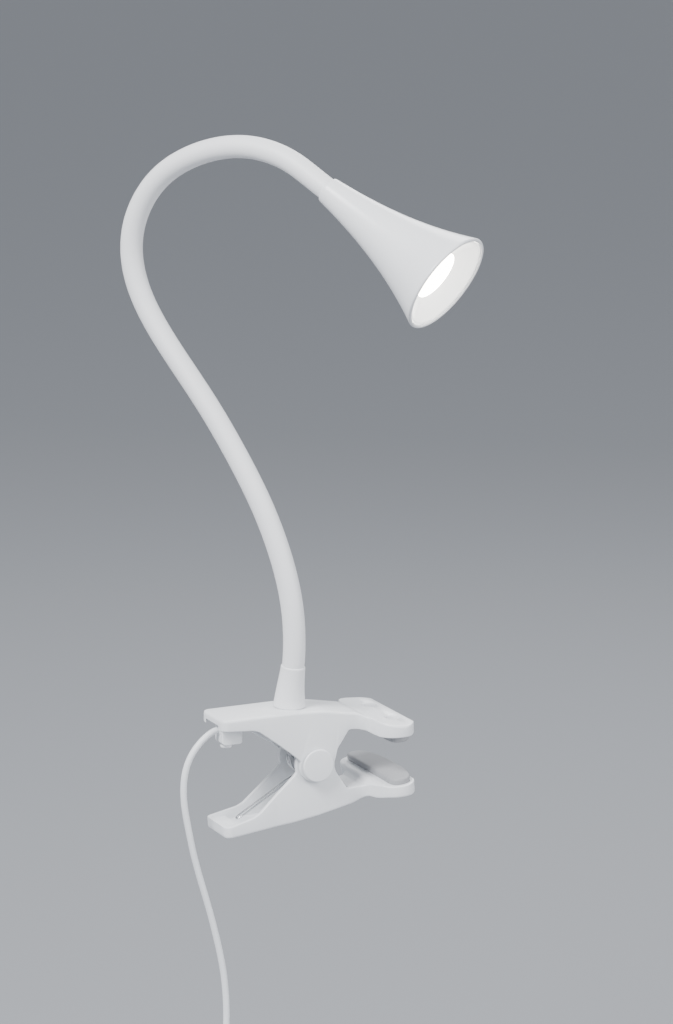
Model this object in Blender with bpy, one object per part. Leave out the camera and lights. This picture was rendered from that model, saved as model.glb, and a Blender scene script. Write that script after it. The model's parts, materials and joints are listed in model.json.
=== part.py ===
"""Clip-on reading lamp: a sprung clip, a bendable neck and a bell-shaped LED head.

The origin lies on top of the board that the clip grips, midway between the two studs of the
upper grip pad. +X points from the handles to the jaw tips, +Z up. All sizes are in metres.
"""

import math

import bmesh
import bpy
import numpy as np
from mathutils import Vector

MM = 0.001
GAP = 0.3 * MM  # clearance between pieces that touch on the bench

# Clip
BOARD_T = 18.0 * MM  # board that the jaws stand open on
PIVOT_X = -41.3 * MM
JAW_HALF_W = 13.0 * MM
JAW_TOP = 28.0 * MM  # outer face of a jaw above the pivot
WALL = 2.0 * MM
HANDLE_BACK = 50.7 * MM  # pivot to the rear end of the upper jaw
LOWER_BACK = 51.0 * MM
CORNER_R = 3.5 * MM  # rear corners of both jaws in plan
PAD_FRONT = 50.5 * MM  # pivot to the jaw tips
PAD_FACE = 13.5 * MM  # pivot to the inner face of a jaw pad, jaws parallel
PAD_T = 6.0 * MM
PAD_HALF_W = 30.0 * MM
GRIP_T = 3.0 * MM
GRIP_INSET = 2.5 * MM
STUD_R = 3.45 * MM
STUD_Y = 13.0 * MM
STUD_H = 4.0 * MM
EAR_R = 9.2 * MM
LOWER_EAR_R = 10.6 * MM
PIN_R = 3.0 * MM
CAP_R = 8.3 * MM
CAP_T = 1.9 * MM
WIRE_R = 0.45 * MM
COIL_R = 7.6 * MM
COIL_TURNS = 3
COIL_START = 58.3  # degrees from +X, where the spring's tail meets its coil
LEG_Y = 1.3 * MM  # spring's leg from the middle plane

# Neck
NECK_X = -9.2 * MM  # neck axis from the pivot
NECK_AZIMUTH = -57.6  # degrees from +X, the upright plane that the neck bends in
NECK_HEIGHT = 256.4 * MM  # clip top to the head joint
CORE_R = 3.9 * MM
SLEEVE_R = 5.5 * MM
HINGE_FIRST = 30.0 * MM
HINGE_STEP = 42.0 * MM
HINGES = 9
SLEEVE_END = 2.1 * MM  # room for the bend between a hinge and each sleeve
BOOT_R = 8.0 * MM
BOOT_TOP_R = 6.0 * MM
BOOT_H = 21.0 * MM
FERRULE_WALL = 0.7 * MM
NUT_FLATS = 12.6 * MM
NUT_T = 3.5 * MM

# Head
HEAD_LEN = 76.8 * MM
CORE_IN_HEAD = 14.0 * MM
MOUTH_R = 25.7 * MM
COLLAR_R = 6.6 * MM
SHADE_WALL = 1.8 * MM
DIFFUSER_H = 67.5 * MM  # collar end to the diffuser's back
DIFFUSER_T = 1.8 * MM
THROAT_R = 12.5 * MM  # opening of the reflector over the diffuser
CONE_WALL = 1.3 * MM
BOARD_PCB_T = 1.4 * MM
SINK_T = 18.0 * MM

# Cord and what is on it
CORD_R = 1.6 * MM
CLAMP_X = -47.3 * MM  # rear face of the cord clamp from the pivot
CLAMP_L = 10.8 * MM
CLAMP_HALF_W = 4.5 * MM
CORD_Z = 20.4 * MM  # cord's height above the pivot in the clamp
CLAMP_DROP = 7.2 * MM  # cord to the clamp's underside
SCREW_IN = 3.9 * MM  # clamp's rear face to the screw
SCREW_HEAD_R = 2.9 * MM
SCREW_HEAD_T = 2.0 * MM
SWITCH_TOP = -152.0 * MM
SWITCH_L = 52.0 * MM
SWITCH_W = 20.0 * MM
SWITCH_T = 14.0 * MM
HANG_X = -86.0 * MM
COIL_DROP = 96.0 * MM  # switch top to the coil's centre
COIL_IN_R = 11.9 * MM
COIL_OUT_R = 24.7 * MM
COIL_HALF_T = 6.4 * MM
PLUG_L = 46.0 * MM
PLUG_W = 30.0 * MM
PLUG_T = 22.0 * MM
RELIEF_L = 20.0 * MM
RELIEF_END_R = 4.4 * MM
PIN_RISE = 4.0 * MM  # pins above the plug's middle
TIE_HALF_W = 4.0 * MM
TIE_T = 1.2 * MM
PIN_PITCH = 18.6 * MM
PLUG_PIN_R = 2.0 * MM
PLUG_PIN_L = 19.0 * MM

PIVOT = np.array([PIVOT_X, 0.0, -(PAD_FACE - GRIP_T)])
NECK_BASE = PIVOT + np.array([NECK_X, 0.0, JAW_TOP])
NECK_OUT = np.array([math.cos(math.radians(NECK_AZIMUTH)), math.sin(math.radians(NECK_AZIMUTH)), 0.0])
NECK_SIDE = np.cross(NECK_OUT, (0.0, 0.0, 1.0))
UP = np.array([0.0, 0.0, 1.0])


# ---------------------------------------------------------------- tools


def clear_scene():
    for obj in list(bpy.data.objects):
        bpy.data.objects.remove(obj, do_unlink=True)


def finish(obj, colour, roughness, metallic=0.0):
    """Give the object its own Principled material."""
    mat = bpy.data.materials.new(obj.name)
    mat.use_nodes = True
    shader = mat.node_tree.nodes["Principled BSDF"]
    shader.inputs["Base Color"].default_value = (*colour, 1.0)
    shader.inputs["Roughness"].default_value = roughness
    shader.inputs["Metallic"].default_value = metallic
    obj.data.materials.append(mat)


def white_plastic(obj):
    finish(obj, (0.84, 0.85, 0.87), 0.38)


def white_silicone(obj):
    finish(obj, (0.85, 0.86, 0.88), 0.55)


def grey_rubber(obj):
    finish(obj, (0.30, 0.31, 0.33), 0.75)


def steel(obj):
    finish(obj, (0.60, 0.61, 0.63), 0.3, 1.0)


def brass(obj):
    finish(obj, (0.72, 0.55, 0.27), 0.35, 1.0)


def aluminium(obj):
    finish(obj, (0.75, 0.76, 0.78), 0.4, 1.0)


def hinge_empty(name, at, parent=None, parent_at=None, tilt=0.0):
    """An empty on a joint's axis, which the moving pieces hang from."""
    empty = bpy.data.objects.new(name, None)
    empty.empty_display_size = 10 * MM
    bpy.context.scene.collection.objects.link(empty)
    if parent is not None:
        empty.parent = parent
        at = np.asarray(at) - np.asarray(parent_at)
    empty.location = Vector(at)
    empty.rotation_euler = (0.0, tilt, 0.0)
    return empty


def new_object(name, bm, parent=None):
    """Turn a bmesh into an object with outward faces and smooth round sides."""
    bmesh.ops.remove_doubles(bm, verts=bm.verts, dist=1e-6)
    bmesh.ops.recalc_face_normals(bm, faces=bm.faces)
    mesh = bpy.data.meshes.new(name)
    bm.to_mesh(mesh)
    bm.free()
    mesh.shade_smooth()
    mesh.set_sharp_from_angle(angle=math.radians(35))
    obj = bpy.data.objects.new(name, mesh)
    obj.parent = parent
    bpy.context.scene.collection.objects.link(obj)
    return obj


def skin(name, rings, looped=False, parent=None, at=(0, 0, 0)):
    """A solid skinned over rings of points; looped joins the last ring to the first."""
    bm = bmesh.new()
    rows = [[bm.verts.new(Vector(p - np.asarray(at))) for p in ring] for ring in rings]
    count = len(rows)
    for i in range(count if looped else count - 1):
        a, b = rows[i], rows[(i + 1) % count]
        for j in range(len(a)):
            k = (j + 1) % len(a)
            bm.faces.new((a[j], a[k], b[k], b[j]))
    if not looped:
        bm.faces.new(rows[0])
        bm.faces.new(rows[-1])
    return new_object(name, bm, parent)


def ring(centre, e1, e2, radius, sides):
    turn = np.linspace(0, 2 * np.pi, sides, endpoint=False)[:, None]
    return centre + radius * (np.cos(turn) * e1 + np.sin(turn) * e2)


def side_axes(axis):
    axis = np.asarray(axis, float) / np.linalg.norm(axis)
    helper = UP if abs(axis[2]) < 0.9 else np.array([1.0, 0.0, 0.0])
    e1 = np.cross(helper, axis)
    e1 /= np.linalg.norm(e1)
    return axis, e1, np.cross(axis, e1)


def turned(name, profile, base, axis, sides=24, looped=False, parent=None, at=(0, 0, 0)):
    """A turned piece: profile is (radius, height) pairs along axis from base."""
    axis, e1, e2 = side_axes(axis)
    rings = [ring(np.asarray(base) + h * axis, e1, e2, r, sides) for r, h in profile]
    return skin(name, rings, looped, parent, at)


def tube_profile(outer, inner, low, high):
    return [(outer, low), (outer, high), (inner, high), (inner, low)]


def extruded(name, outline, along, parent=None):
    """A flat outline of 3-D points extruded by a vector."""
    bm = bmesh.new()
    low = [bm.verts.new(Vector(p)) for p in outline]
    high = [bm.verts.new(Vector(p + np.asarray(along))) for p in outline]
    bm.faces.new(low)
    bm.faces.new(high)
    for j in range(len(low)):
        k = (j + 1) % len(low)
        bm.faces.new((low[j], low[k], high[k], high[j]))
    return new_object(name, bm, parent)


def side_prism(name, outline, half, at, parent=None):
    """An (x, z) outline extruded from y = -half to +half, about the point at."""
    points = [np.array([x, -half, z]) + at for x, z in outline]
    return extruded(name, points, (0, 2 * half, 0), parent)


def plan_prism(name, outline, low, high, at, parent=None):
    """An (x, y) outline extruded from z = low to high, about the point at."""
    points = [np.array([x, y, low]) + at for x, y in outline]
    return extruded(name, points, (0, 0, high - low), parent)


def box(name, low, high, at=(0, 0, 0), parent=None, bevel=0.0):
    low, high = np.asarray(low), np.asarray(high)
    outline = [(low[0], low[1]), (high[0], low[1]), (high[0], high[1]), (low[0], high[1])]
    obj = plan_prism(name, outline, low[2], high[2], np.asarray(at), parent)
    if bevel:
        mod = obj.modifiers.new("rounding", "BEVEL")
        mod.width = bevel
        mod.segments = 2
    return obj


def combine(obj, tool, operation):
    """Join, intersect or cut with a tool object, which stays as a hidden guide."""
    tool.hide_render = True
    tool.display_type = "WIRE"
    mod = obj.modifiers.new(operation.lower(), "BOOLEAN")
    mod.operation = operation
    mod.solver = "EXACT"
    mod.object = tool


def arc(radius, start, end, steps):
    turn = np.radians(np.linspace(start, end, steps + 1))
    return [(radius * math.cos(a), radius * math.sin(a)) for a in turn]


def smooth_path(points, step):
    """Points read every step along a natural cubic spline through the given points."""
    p = np.asarray(points, float)
    t = np.r_[0, np.cumsum(np.linalg.norm(np.diff(p, axis=0), axis=1))]
    h = np.diff(t)
    n = len(p)
    lhs = np.eye(n)
    rhs = np.zeros_like(p)
    for i in range(1, n - 1):
        lhs[i, i - 1 : i + 2] = h[i - 1], 2 * (h[i - 1] + h[i]), h[i]
        rhs[i] = 6 * ((p[i + 1] - p[i]) / h[i] - (p[i] - p[i - 1]) / h[i - 1])
    bend = np.linalg.solve(lhs, rhs)
    fine = np.linspace(0, t[-1], 60 * n)
    k = np.clip(np.searchsorted(t, fine, side="right") - 1, 0, n - 2)
    u, w, hk = (fine - t[k])[:, None], (t[k + 1] - fine)[:, None], h[k][:, None]
    q = (bend[k] * w**3 + bend[k + 1] * u**3) / (6 * hk)
    q += (p[k] / hk - bend[k] * hk / 6) * w + (p[k + 1] / hk - bend[k + 1] * hk / 6) * u
    s = np.r_[0, np.cumsum(np.linalg.norm(np.diff(q, axis=0), axis=1))]
    at = np.linspace(0, s[-1], max(2, round(s[-1] / step) + 1))
    return np.stack([np.interp(at, s, q[:, c]) for c in range(p.shape[1])], 1)


def inset(outline, distance):
    """Move each point of a closed anticlockwise outline inwards along its normal."""
    p = np.asarray(outline)
    along = np.roll(p, -1, axis=0) - np.roll(p, 1, axis=0)
    along /= np.linalg.norm(along, axis=1)[:, None]
    return p + distance * np.stack([-along[:, 1], along[:, 0]], 1)


def cord_tube(name, route, step, end_gap=0.0):
    """A plain round cord: a bevelled curve on a smooth line through its route."""
    points = smooth_path(route, step)
    first = (points[1] - points[0]) / np.linalg.norm(points[1] - points[0])
    last = (points[-1] - points[-2]) / np.linalg.norm(points[-1] - points[-2])
    points[0] += end_gap * first
    points[-1] -= end_gap * last
    curve = bpy.data.curves.new(name, "CURVE")
    curve.dimensions = "3D"
    curve.bevel_depth = CORD_R
    curve.bevel_resolution = 2
    curve.use_fill_caps = True
    line = curve.splines.new("POLY")
    line.points.add(len(points) - 1)
    for point, target in zip(line.points, points):
        point.co = (*target, 1.0)
    obj = bpy.data.objects.new(name, curve)
    bpy.context.scene.collection.objects.link(obj)
    white_silicone(obj)
    return obj


# ---------------------------------------------------------------- clip


def rest_angle():
    """How far the lower jaw turns from parallel so that its grip meets the board."""
    reach = PAD_FRONT - GRIP_INSET
    face = PAD_FACE - GRIP_T
    under = BOARD_T + PIVOT[2]
    radius = math.hypot(reach, face)
    return math.asin(face / radius) - math.asin(under / radius)


WING = (  # half outline of the wide pad: share of the reach, share of the way out to the tip
    (0.36, 0.0),
    (0.46, 0.01),
    (0.53, 0.13),
    (0.558, 0.40),
    (0.588, 0.68),
    (0.66, 0.92),
    (0.76, 1.0),
    (0.86, 0.93),
    (0.938, 0.66),
)


def jaw_plan(back, rear_half, front_half):
    """Plan outline of a jaw: rounded rear, straight or tapered sides, then the wide pad."""
    corner = CORNER_R
    rear = [
        (-back + corner * (1 - math.cos(a)), rear_half - corner * (1 - math.sin(a)))
        for a in np.radians((0, 30, 60, 90))
    ]
    flare = [(x * PAD_FRONT, front_half + y * (PAD_HALF_W - front_half)) for x, y in WING]
    curve = smooth_path(np.array(flare), 3.0 * MM)
    waist = [(-22.0 * MM, front_half)]
    y = curve[-1, 1] * np.array([0.75, 0.5, 0.25])
    front = np.stack([PAD_FRONT - (PAD_FRONT - curve[-1, 0]) * (y / curve[-1, 1]) ** 2.6, y], 1)
    half = rear + waist + [tuple(p) for p in curve] + [tuple(p) for p in front]
    lower = [(x, -y) for x, y in half]
    return lower + [(PAD_FRONT, 0.0)] + half[::-1]


def jaw_profile(points, radius, start, end):
    """Side outline: hand-set points before the ear, the ear's arc, then points after it."""
    before, after = points
    ear = [(x / MM, z / MM) for x, z in arc(radius, start, end, 14)]
    return np.array(before + ear + after) * MM


def stud_places():
    return [(-PIVOT_X, side * STUD_Y) for side in (-1, 1)]


def make_upper_jaw():
    top, face, pad = JAW_TOP / MM, PAD_FACE / MM, (PAD_FACE + PAD_T) / MM
    back, tip = HANDLE_BACK / MM, PAD_FRONT / MM + 2
    before = [
        (-back, top - 5.4),
        (-back, top - 1.4),
        (-back + 1.4, top),
        (-11.0, top),
        (5.0, top - 1.1),
        (23.0, top - 4.4),
        (27.5, pad + 1.9),
        (33.0, pad + 0.7),
        (40.0, pad),
        (tip, pad),
        (tip, face),
        (28.6, face),
        (25.5, face + 1.4),
        (21.5, face + 2.1),
        (17.2, face + 2.4),
        (10.9, 6.8),
    ]
    after = [(-11.5, 5.1), (-20.0, 12.0), (-32.3, top - 6.8)]
    outline = jaw_profile((before, after), EAR_R, 5, -198)
    jaw = side_prism("upper_jaw", outline, PAD_HALF_W + 2 * MM, PIVOT)
    plan = jaw_plan(HANDLE_BACK, JAW_HALF_W, JAW_HALF_W)
    shape = plan_prism("upper_plan", plan, -20 * MM, 40 * MM, PIVOT)
    combine(jaw, shape, "INTERSECT")
    under = top - WALL / MM
    hollow = [
        (-back - 4, under - 1.2),
        (-back + 1.8, under - 1.2),
        (-back + 1.8, under),
        (-2.4, under),
        (4.5, under - 1.1),
        (17.0, under - 3.2),
        (19.0, under - 7.0),
        (19.0, -14.0),
        (-back - 4, -14.0),
    ]
    room = side_prism("upper_hollow", np.array(hollow) * MM, JAW_HALF_W - WALL, PIVOT)
    combine(jaw, room, "DIFFERENCE")
    cut_round(jaw, "upper_bore", PIVOT + [0, -40 * MM, 0], (0, 1, 0), PIN_R + 0.2 * MM, 80 * MM)
    ferrule_r = CORE_R + GAP + FERRULE_WALL
    low = NECK_BASE - [0, 0, 5 * MM]
    cut_round(jaw, "neck_hole", low, UP, ferrule_r + GAP, 10 * MM)
    for i, (x, y) in enumerate(stud_places()):
        low = PIVOT + [x, y, 0]
        cut_round(jaw, f"upper_stud_hole_{i}", low, UP, STUD_R + GAP, 40 * MM)
    white_plastic(jaw)


def cut_round(obj, name, base, axis, radius, length, sides=20, parent=None):
    tool = turned(name, [(radius, 0), (radius, length)], base, axis, sides, parent=parent)
    combine(obj, tool, "DIFFERENCE")


def make_lower_jaw(hinge):
    here = np.zeros(3)
    top, face, pad = -JAW_TOP / MM, -PAD_FACE / MM, -(PAD_FACE + PAD_T) / MM
    back, tip = LOWER_BACK / MM, PAD_FRONT / MM + 2
    before = [
        (-back, top + 4.9),
        (-back, top + 0.8),
        (-back + 1.5, top - 0.8),
        (-45.0, top - 0.9),
        (-13.4, top - 0.1),
        (0.0, top + 1.0),
        (20.6, top + 3.9),
        (26.0, pad - 2.2),
        (30.5, pad),
        (tip, pad),
        (tip, face),
        (28.6, face),
        (27.0, face - 1.6),
        (25.0, face - 2.4),
        (16.6, face - 2.4),
    ]
    after = [(-11.6, -4.0), (-32.7, top + 7.4), (-47.6, top + 5.0)]
    outline = jaw_profile((before, after), LOWER_EAR_R, -22, 194)
    jaw = side_prism("lower_jaw", outline, PAD_HALF_W + 2 * MM, here, hinge)
    inner_half = JAW_HALF_W - WALL - GAP
    plan = jaw_plan(LOWER_BACK, JAW_HALF_W - 0.5 * MM, inner_half)
    shape = plan_prism("lower_plan", plan, -40 * MM, 20 * MM, here, hinge)
    combine(jaw, shape, "INTERSECT")
    floor = top + WALL / MM
    hollow = [
        (-back + 2.0, floor + 1.0),
        (-40.8, floor + 1.0),
        (-40.8, floor - 0.8),
        (-13.4, floor - 0.1),
        (0.0, floor + 1.0),
        (18.5, floor + 3.6),
        (18.5, 14.0),
        (-back + 2.0, 14.0),
    ]
    room = side_prism("lower_hollow", np.array(hollow) * MM, JAW_HALF_W, here, hinge)
    inside = inset(plan, WALL)
    core = plan_prism("lower_inside", inside, -50 * MM, 30 * MM, here, hinge)
    combine(room, core, "INTERSECT")
    combine(jaw, room, "DIFFERENCE")
    low = np.array([0, -40 * MM, 0])
    cut_round(jaw, "lower_bore", low, (0, 1, 0), PIN_R + GAP, 80 * MM, parent=hinge)
    for i, (x, y) in enumerate(stud_places()):
        low = np.array([x, y, -40 * MM])
        name = f"lower_stud_hole_{i}"
        cut_round(jaw, name, low, UP, STUD_R + GAP, 40 * MM, parent=hinge)
    white_plastic(jaw)


def make_grip_pad(name, at, side, parent=None):
    """A soft pad under a jaw, held by two studs; side is +1 on the upper jaw, -1 on the lower."""
    plan = inset(jaw_plan(HANDLE_BACK, JAW_HALF_W, JAW_HALF_W), GRIP_INSET)
    rear = 31.0 * MM
    front = [tuple(p) for p in plan if p[0] > rear]
    near = min(front, key=lambda p: (p[0], p[1]))
    outline = [(rear, -abs(near[1]) + 1 * MM)] + front + [(rear, abs(near[1]) - 1 * MM)]
    faces = sorted((side * (PAD_FACE - GAP), side * (PAD_FACE - GRIP_T)))
    pad = plan_prism(name, outline, *faces, at, parent)
    for i, (x, y) in enumerate(stud_places()):
        root = np.asarray(at) + [x, y, side * (PAD_FACE - 1.5 * MM)]
        profile = [(STUD_R, 0), (STUD_R, STUD_H + 1.5 * MM)]
        stud = turned(f"{name}_stud_{i}", profile, root, (0, 0, side), 16, parent=parent)
        combine(pad, stud, "UNION")
    grey_rubber(pad)


def make_pivot():
    """The steel pin through both jaws and the round caps that hide its ends."""
    reach = JAW_HALF_W - 0.1 * MM
    profile = [(PIN_R, -reach), (PIN_R, reach)]
    pin = turned("pivot_pin", profile, PIVOT, (0, 1, 0), 20)
    steel(pin)
    for name, side in (("pivot_cap_near", -1), ("pivot_cap_far", 1)):
        base = PIVOT + [0, side * (JAW_HALF_W + GAP), 0]
        edge = 0.5 * MM
        profile = [(CAP_R, 0), (CAP_R, CAP_T - edge), (CAP_R - edge, CAP_T), (0, CAP_T)]
        cap = turned(name, [(0, 0)] + profile, base, (0, side, 0), 28)
        white_plastic(cap)


def make_clip_spring(angle):
    """A double torsion spring: two coils on the pin, one long U-shaped leg between them."""
    inside = JAW_HALF_W - 2 * WALL - GAP
    outer_y = inside - GAP - WIRE_R - 0.2 * MM
    inner_y = LEG_Y
    start = math.radians(COIL_START)
    stop = math.radians(-90 - 360 * COIL_TURNS)
    steps = 12 * COIL_TURNS + 6
    turn = np.linspace(start, stop, steps)
    share = np.linspace(0, 1, steps)
    coil = np.stack(
        [COIL_R * np.cos(turn), -outer_y + (outer_y - inner_y) * share, COIL_R * np.sin(turn)], 1
    )
    roof = JAW_TOP - WALL - GAP - WIRE_R - 0.1 * MM
    lead_in = np.linspace((-24.0 * MM, -outer_y, roof), coil[0], 5)[:-1]
    leg = np.array([(-5.0, -7.7), (-10.0, -8.9), (-16.0, -11.7), (-28.0, -17.7), (-38.6, -23.0)]) * MM
    cos, sin = math.cos(angle), math.sin(angle)
    leg = np.stack([leg[:, 0] * cos - leg[:, 1] * sin, leg[:, 0] * sin + leg[:, 1] * cos], 1)
    leg = np.stack([leg[:, 0], np.full(len(leg), -inner_y), leg[:, 1]], 1)
    way = (leg[-1] - leg[-2]) / np.linalg.norm(leg[-1] - leg[-2])
    bend = [leg[-1] + way * 1.2 * MM + [0, 0.5 * MM, 0], leg[-1] + way * 1.6 * MM + [0, inner_y, 0]]
    half = np.concatenate([lead_in, coil, leg, bend])
    mirror = half[:-1][::-1] * [1, -1, 1]
    line = np.concatenate([half, mirror]) + PIVOT
    spring = skin("clip_spring", wire_rings(line, WIRE_R, 6))
    steel(spring)


def wire_rings(line, radius, sides):
    """Rings square to a line of points, turned as little as possible from one to the next."""
    along = np.gradient(line, axis=0)
    along /= np.linalg.norm(along, axis=1)[:, None]
    _, e1, _ = side_axes(along[0])
    rings = []
    for centre, way in zip(line, along):
        e1 = e1 - way * (e1 @ way)
        e1 /= np.linalg.norm(e1)
        rings.append(ring(centre, e1, np.cross(way, e1), radius, sides))
    return rings


def make_clip():
    angle = rest_angle()
    hinge = hinge_empty("jaw_hinge", PIVOT, tilt=-angle)
    make_upper_jaw()
    make_lower_jaw(hinge)
    make_grip_pad("upper_grip_pad", PIVOT, 1)
    make_grip_pad("lower_grip_pad", np.zeros(3), -1, hinge)
    make_pivot()
    make_clip_spring(angle)


# ---------------------------------------------------------------- neck

NECK_ROUTE = (  # (outwards, up) as it stands, from inside the clip to the core's end in the head
    (0.0, -10.0),
    (0.0, 0.0),
    (0.9, 10.5),
    (2.4, 21.5),
    (3.0, 34.0),
    (1.5, 52.0),
    (-4.6, 74.5),
    (-15.2, 98.2),
    (-29.8, 122.0),
    (-46.1, 144.6),
    (-64.2, 166.4),
    (-78.0, 183.9),
    (-87.4, 200.2),
    (-91.7, 217.6),
    (-90.3, 231.2),
    (-85.4, 242.8),
    (-74.0, 256.6),
    (-58.8, 266.2),
    (-40.5, 272.4),
    (-23.8, 274.2),
    (-9.4, 272.4),
    (3.1, 268.0),
    (13.2, 262.2),
    (22.7, 256.4),
    (34.7, 249.1),
)


def neck_line():
    """Points, unit directions and lengths along the neck's centre line."""
    flat = smooth_path(np.array(NECK_ROUTE) * NECK_HEIGHT / NECK_ROUTE[-2][1], 0.5 * MM)
    points = NECK_BASE + flat[:, :1] * NECK_OUT + flat[:, 1:] * UP
    length = np.r_[0, np.cumsum(np.linalg.norm(np.diff(points, axis=0), axis=1))]
    length -= np.interp(0.0, flat[:, 1][:60], length[:60])
    along = np.gradient(points, axis=0)
    along /= np.linalg.norm(along, axis=1)[:, None]
    return points, along, length


def neck_at(line, at):
    points, along, length = line
    centre = np.array([np.interp(at, length, points[:, c]) for c in range(3)])
    way = np.array([np.interp(at, length, along[:, c]) for c in range(3)])
    return centre, way / np.linalg.norm(way)


def neck_ring(line, at, radius, sides):
    centre, way = neck_at(line, at)
    return ring(centre, NECK_SIDE, np.cross(way, NECK_SIDE), radius, sides)


def stations(start, end, step=9.0 * MM):
    return np.linspace(start, end, max(2, round((end - start) / step) + 1))


def sphere_rings(centre, way, radius, widest, sides):
    """Rings of a round end: from the pole on the line out to the given ring radius."""
    cross = np.cross(way, NECK_SIDE)
    swing = np.linspace(0.0, math.asin(min(1.0, widest / radius)), 4)
    return [
        ring(centre + radius * math.cos(a) * way, NECK_SIDE, cross, radius * math.sin(a), sides)
        for a in swing
    ]


def make_neck_core(line, i, start, end, parent, at):
    """One link of the steel core: a hollow cup at its start, a ball at its end."""
    sides = 12
    rings = []
    if i == 0:
        rings += [neck_ring(line, start, CORE_R, sides)]
        first = start
    else:
        centre, way = neck_at(line, start)
        rings += sphere_rings(centre, way, CORE_R + GAP, CORE_R, sides)
        first = start + math.sqrt((CORE_R + GAP) ** 2 - CORE_R**2)
    stretch = stations(first, end)
    rings += [neck_ring(line, s, CORE_R, sides) for s in stretch[1:-1]]
    if i < HINGES:
        rings += [neck_ring(line, end, CORE_R, sides)]
        centre, way = neck_at(line, end)
        rings += sphere_rings(centre, way, CORE_R, CORE_R, sides)[::-1][1:]
    else:
        rings += [neck_ring(line, end, CORE_R, sides)]
    core = skin(f"neck_core_{i}", rings, parent=parent, at=at)
    steel(core)


def make_neck_sleeve(line, i, start, end, parent, at):
    """The stretch of silicone sleeve over one link."""
    sides = 16
    stretch = stations(start, end)
    outer = [neck_ring(line, s, SLEEVE_R, sides) for s in stretch]
    inner = [neck_ring(line, s, CORE_R + GAP, sides) for s in stretch[::-1]]
    sleeve = skin(f"neck_sleeve_{i}", outer + inner, looped=True, parent=parent, at=at)
    white_silicone(sleeve)


def make_neck():
    """Base fitting, boot, then links from hinge to hinge. Returns the head's parent empty."""
    line = neck_line()
    joint = line[2][-1] - CORE_IN_HEAD
    places = [HINGE_FIRST + i * HINGE_STEP for i in range(HINGES)]
    inside = WALL + GAP + NUT_T + 1.2 * MM  # ferrule and core below the clip's top face
    make_neck_core(line, 0, -inside, places[0], None, (0, 0, 0))
    make_neck_sleeve(line, 0, BOOT_H + GAP, places[0] - SLEEVE_END, None, (0, 0, 0))
    parent, parent_at = None, None
    for i, place in enumerate(places, start=1):
        at, _ = neck_at(line, place)
        name = f"neck_hinge_{i}"
        parent = hinge_empty(name, at, parent, parent_at)
        parent_at = at
        last = i == HINGES
        core_end = joint + CORE_IN_HEAD if last else places[i]
        sleeve_end = joint - GAP if last else places[i] - SLEEVE_END
        make_neck_core(line, i, place, core_end, parent, at)
        make_neck_sleeve(line, i, place + SLEEVE_END, sleeve_end, parent, at)
    make_base_fitting(line, inside)
    return line, parent, parent_at


def make_base_fitting(line, inside):
    """Threaded ferrule through the clip's top plate, its nut below and the boot above."""
    bore = CORE_R + GAP
    outer = bore + FERRULE_WALL
    high = BOOT_H - 3 * MM
    stretch = stations(-inside, high)
    rings = [neck_ring(line, s, outer, 16) for s in stretch]
    rings += [neck_ring(line, s, bore, 16) for s in stretch[::-1]]
    steel(skin("base_ferrule", rings, looped=True))
    flats = NUT_FLATS / 2 / math.cos(math.pi / 6)
    low = NECK_BASE - [0, 0, WALL + GAP + NUT_T]
    nut = turned("base_nut", [(flats, 0), (flats, NUT_T)], low, UP, 6)
    cut_round(nut, "nut_bore", low - [0, 0, 2 * MM], UP, outer + GAP, 10 * MM)
    steel(nut)
    share = np.linspace(0, 1, 6)
    radii = BOOT_TOP_R + (BOOT_R - BOOT_TOP_R) * (1 - share) ** 1.4
    heights = GAP + share * (BOOT_H - GAP)
    rings = [neck_ring(line, s, r, 24) for s, r in zip(heights, radii)]
    rings += [neck_ring(line, s, outer + GAP, 24) for s in heights[::-1]]
    white_silicone(skin("neck_boot", rings, looped=True))


# ---------------------------------------------------------------- head


def shade_radius(h):
    """Outer radius of the bell at height h from its collar: slow at first, then flaring."""
    share = np.asarray(h) / HEAD_LEN
    flare = 0.42 * share + 0.38 * share**2 + 0.22 * share**3
    return COLLAR_R + (MOUTH_R - COLLAR_R) * flare


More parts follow.
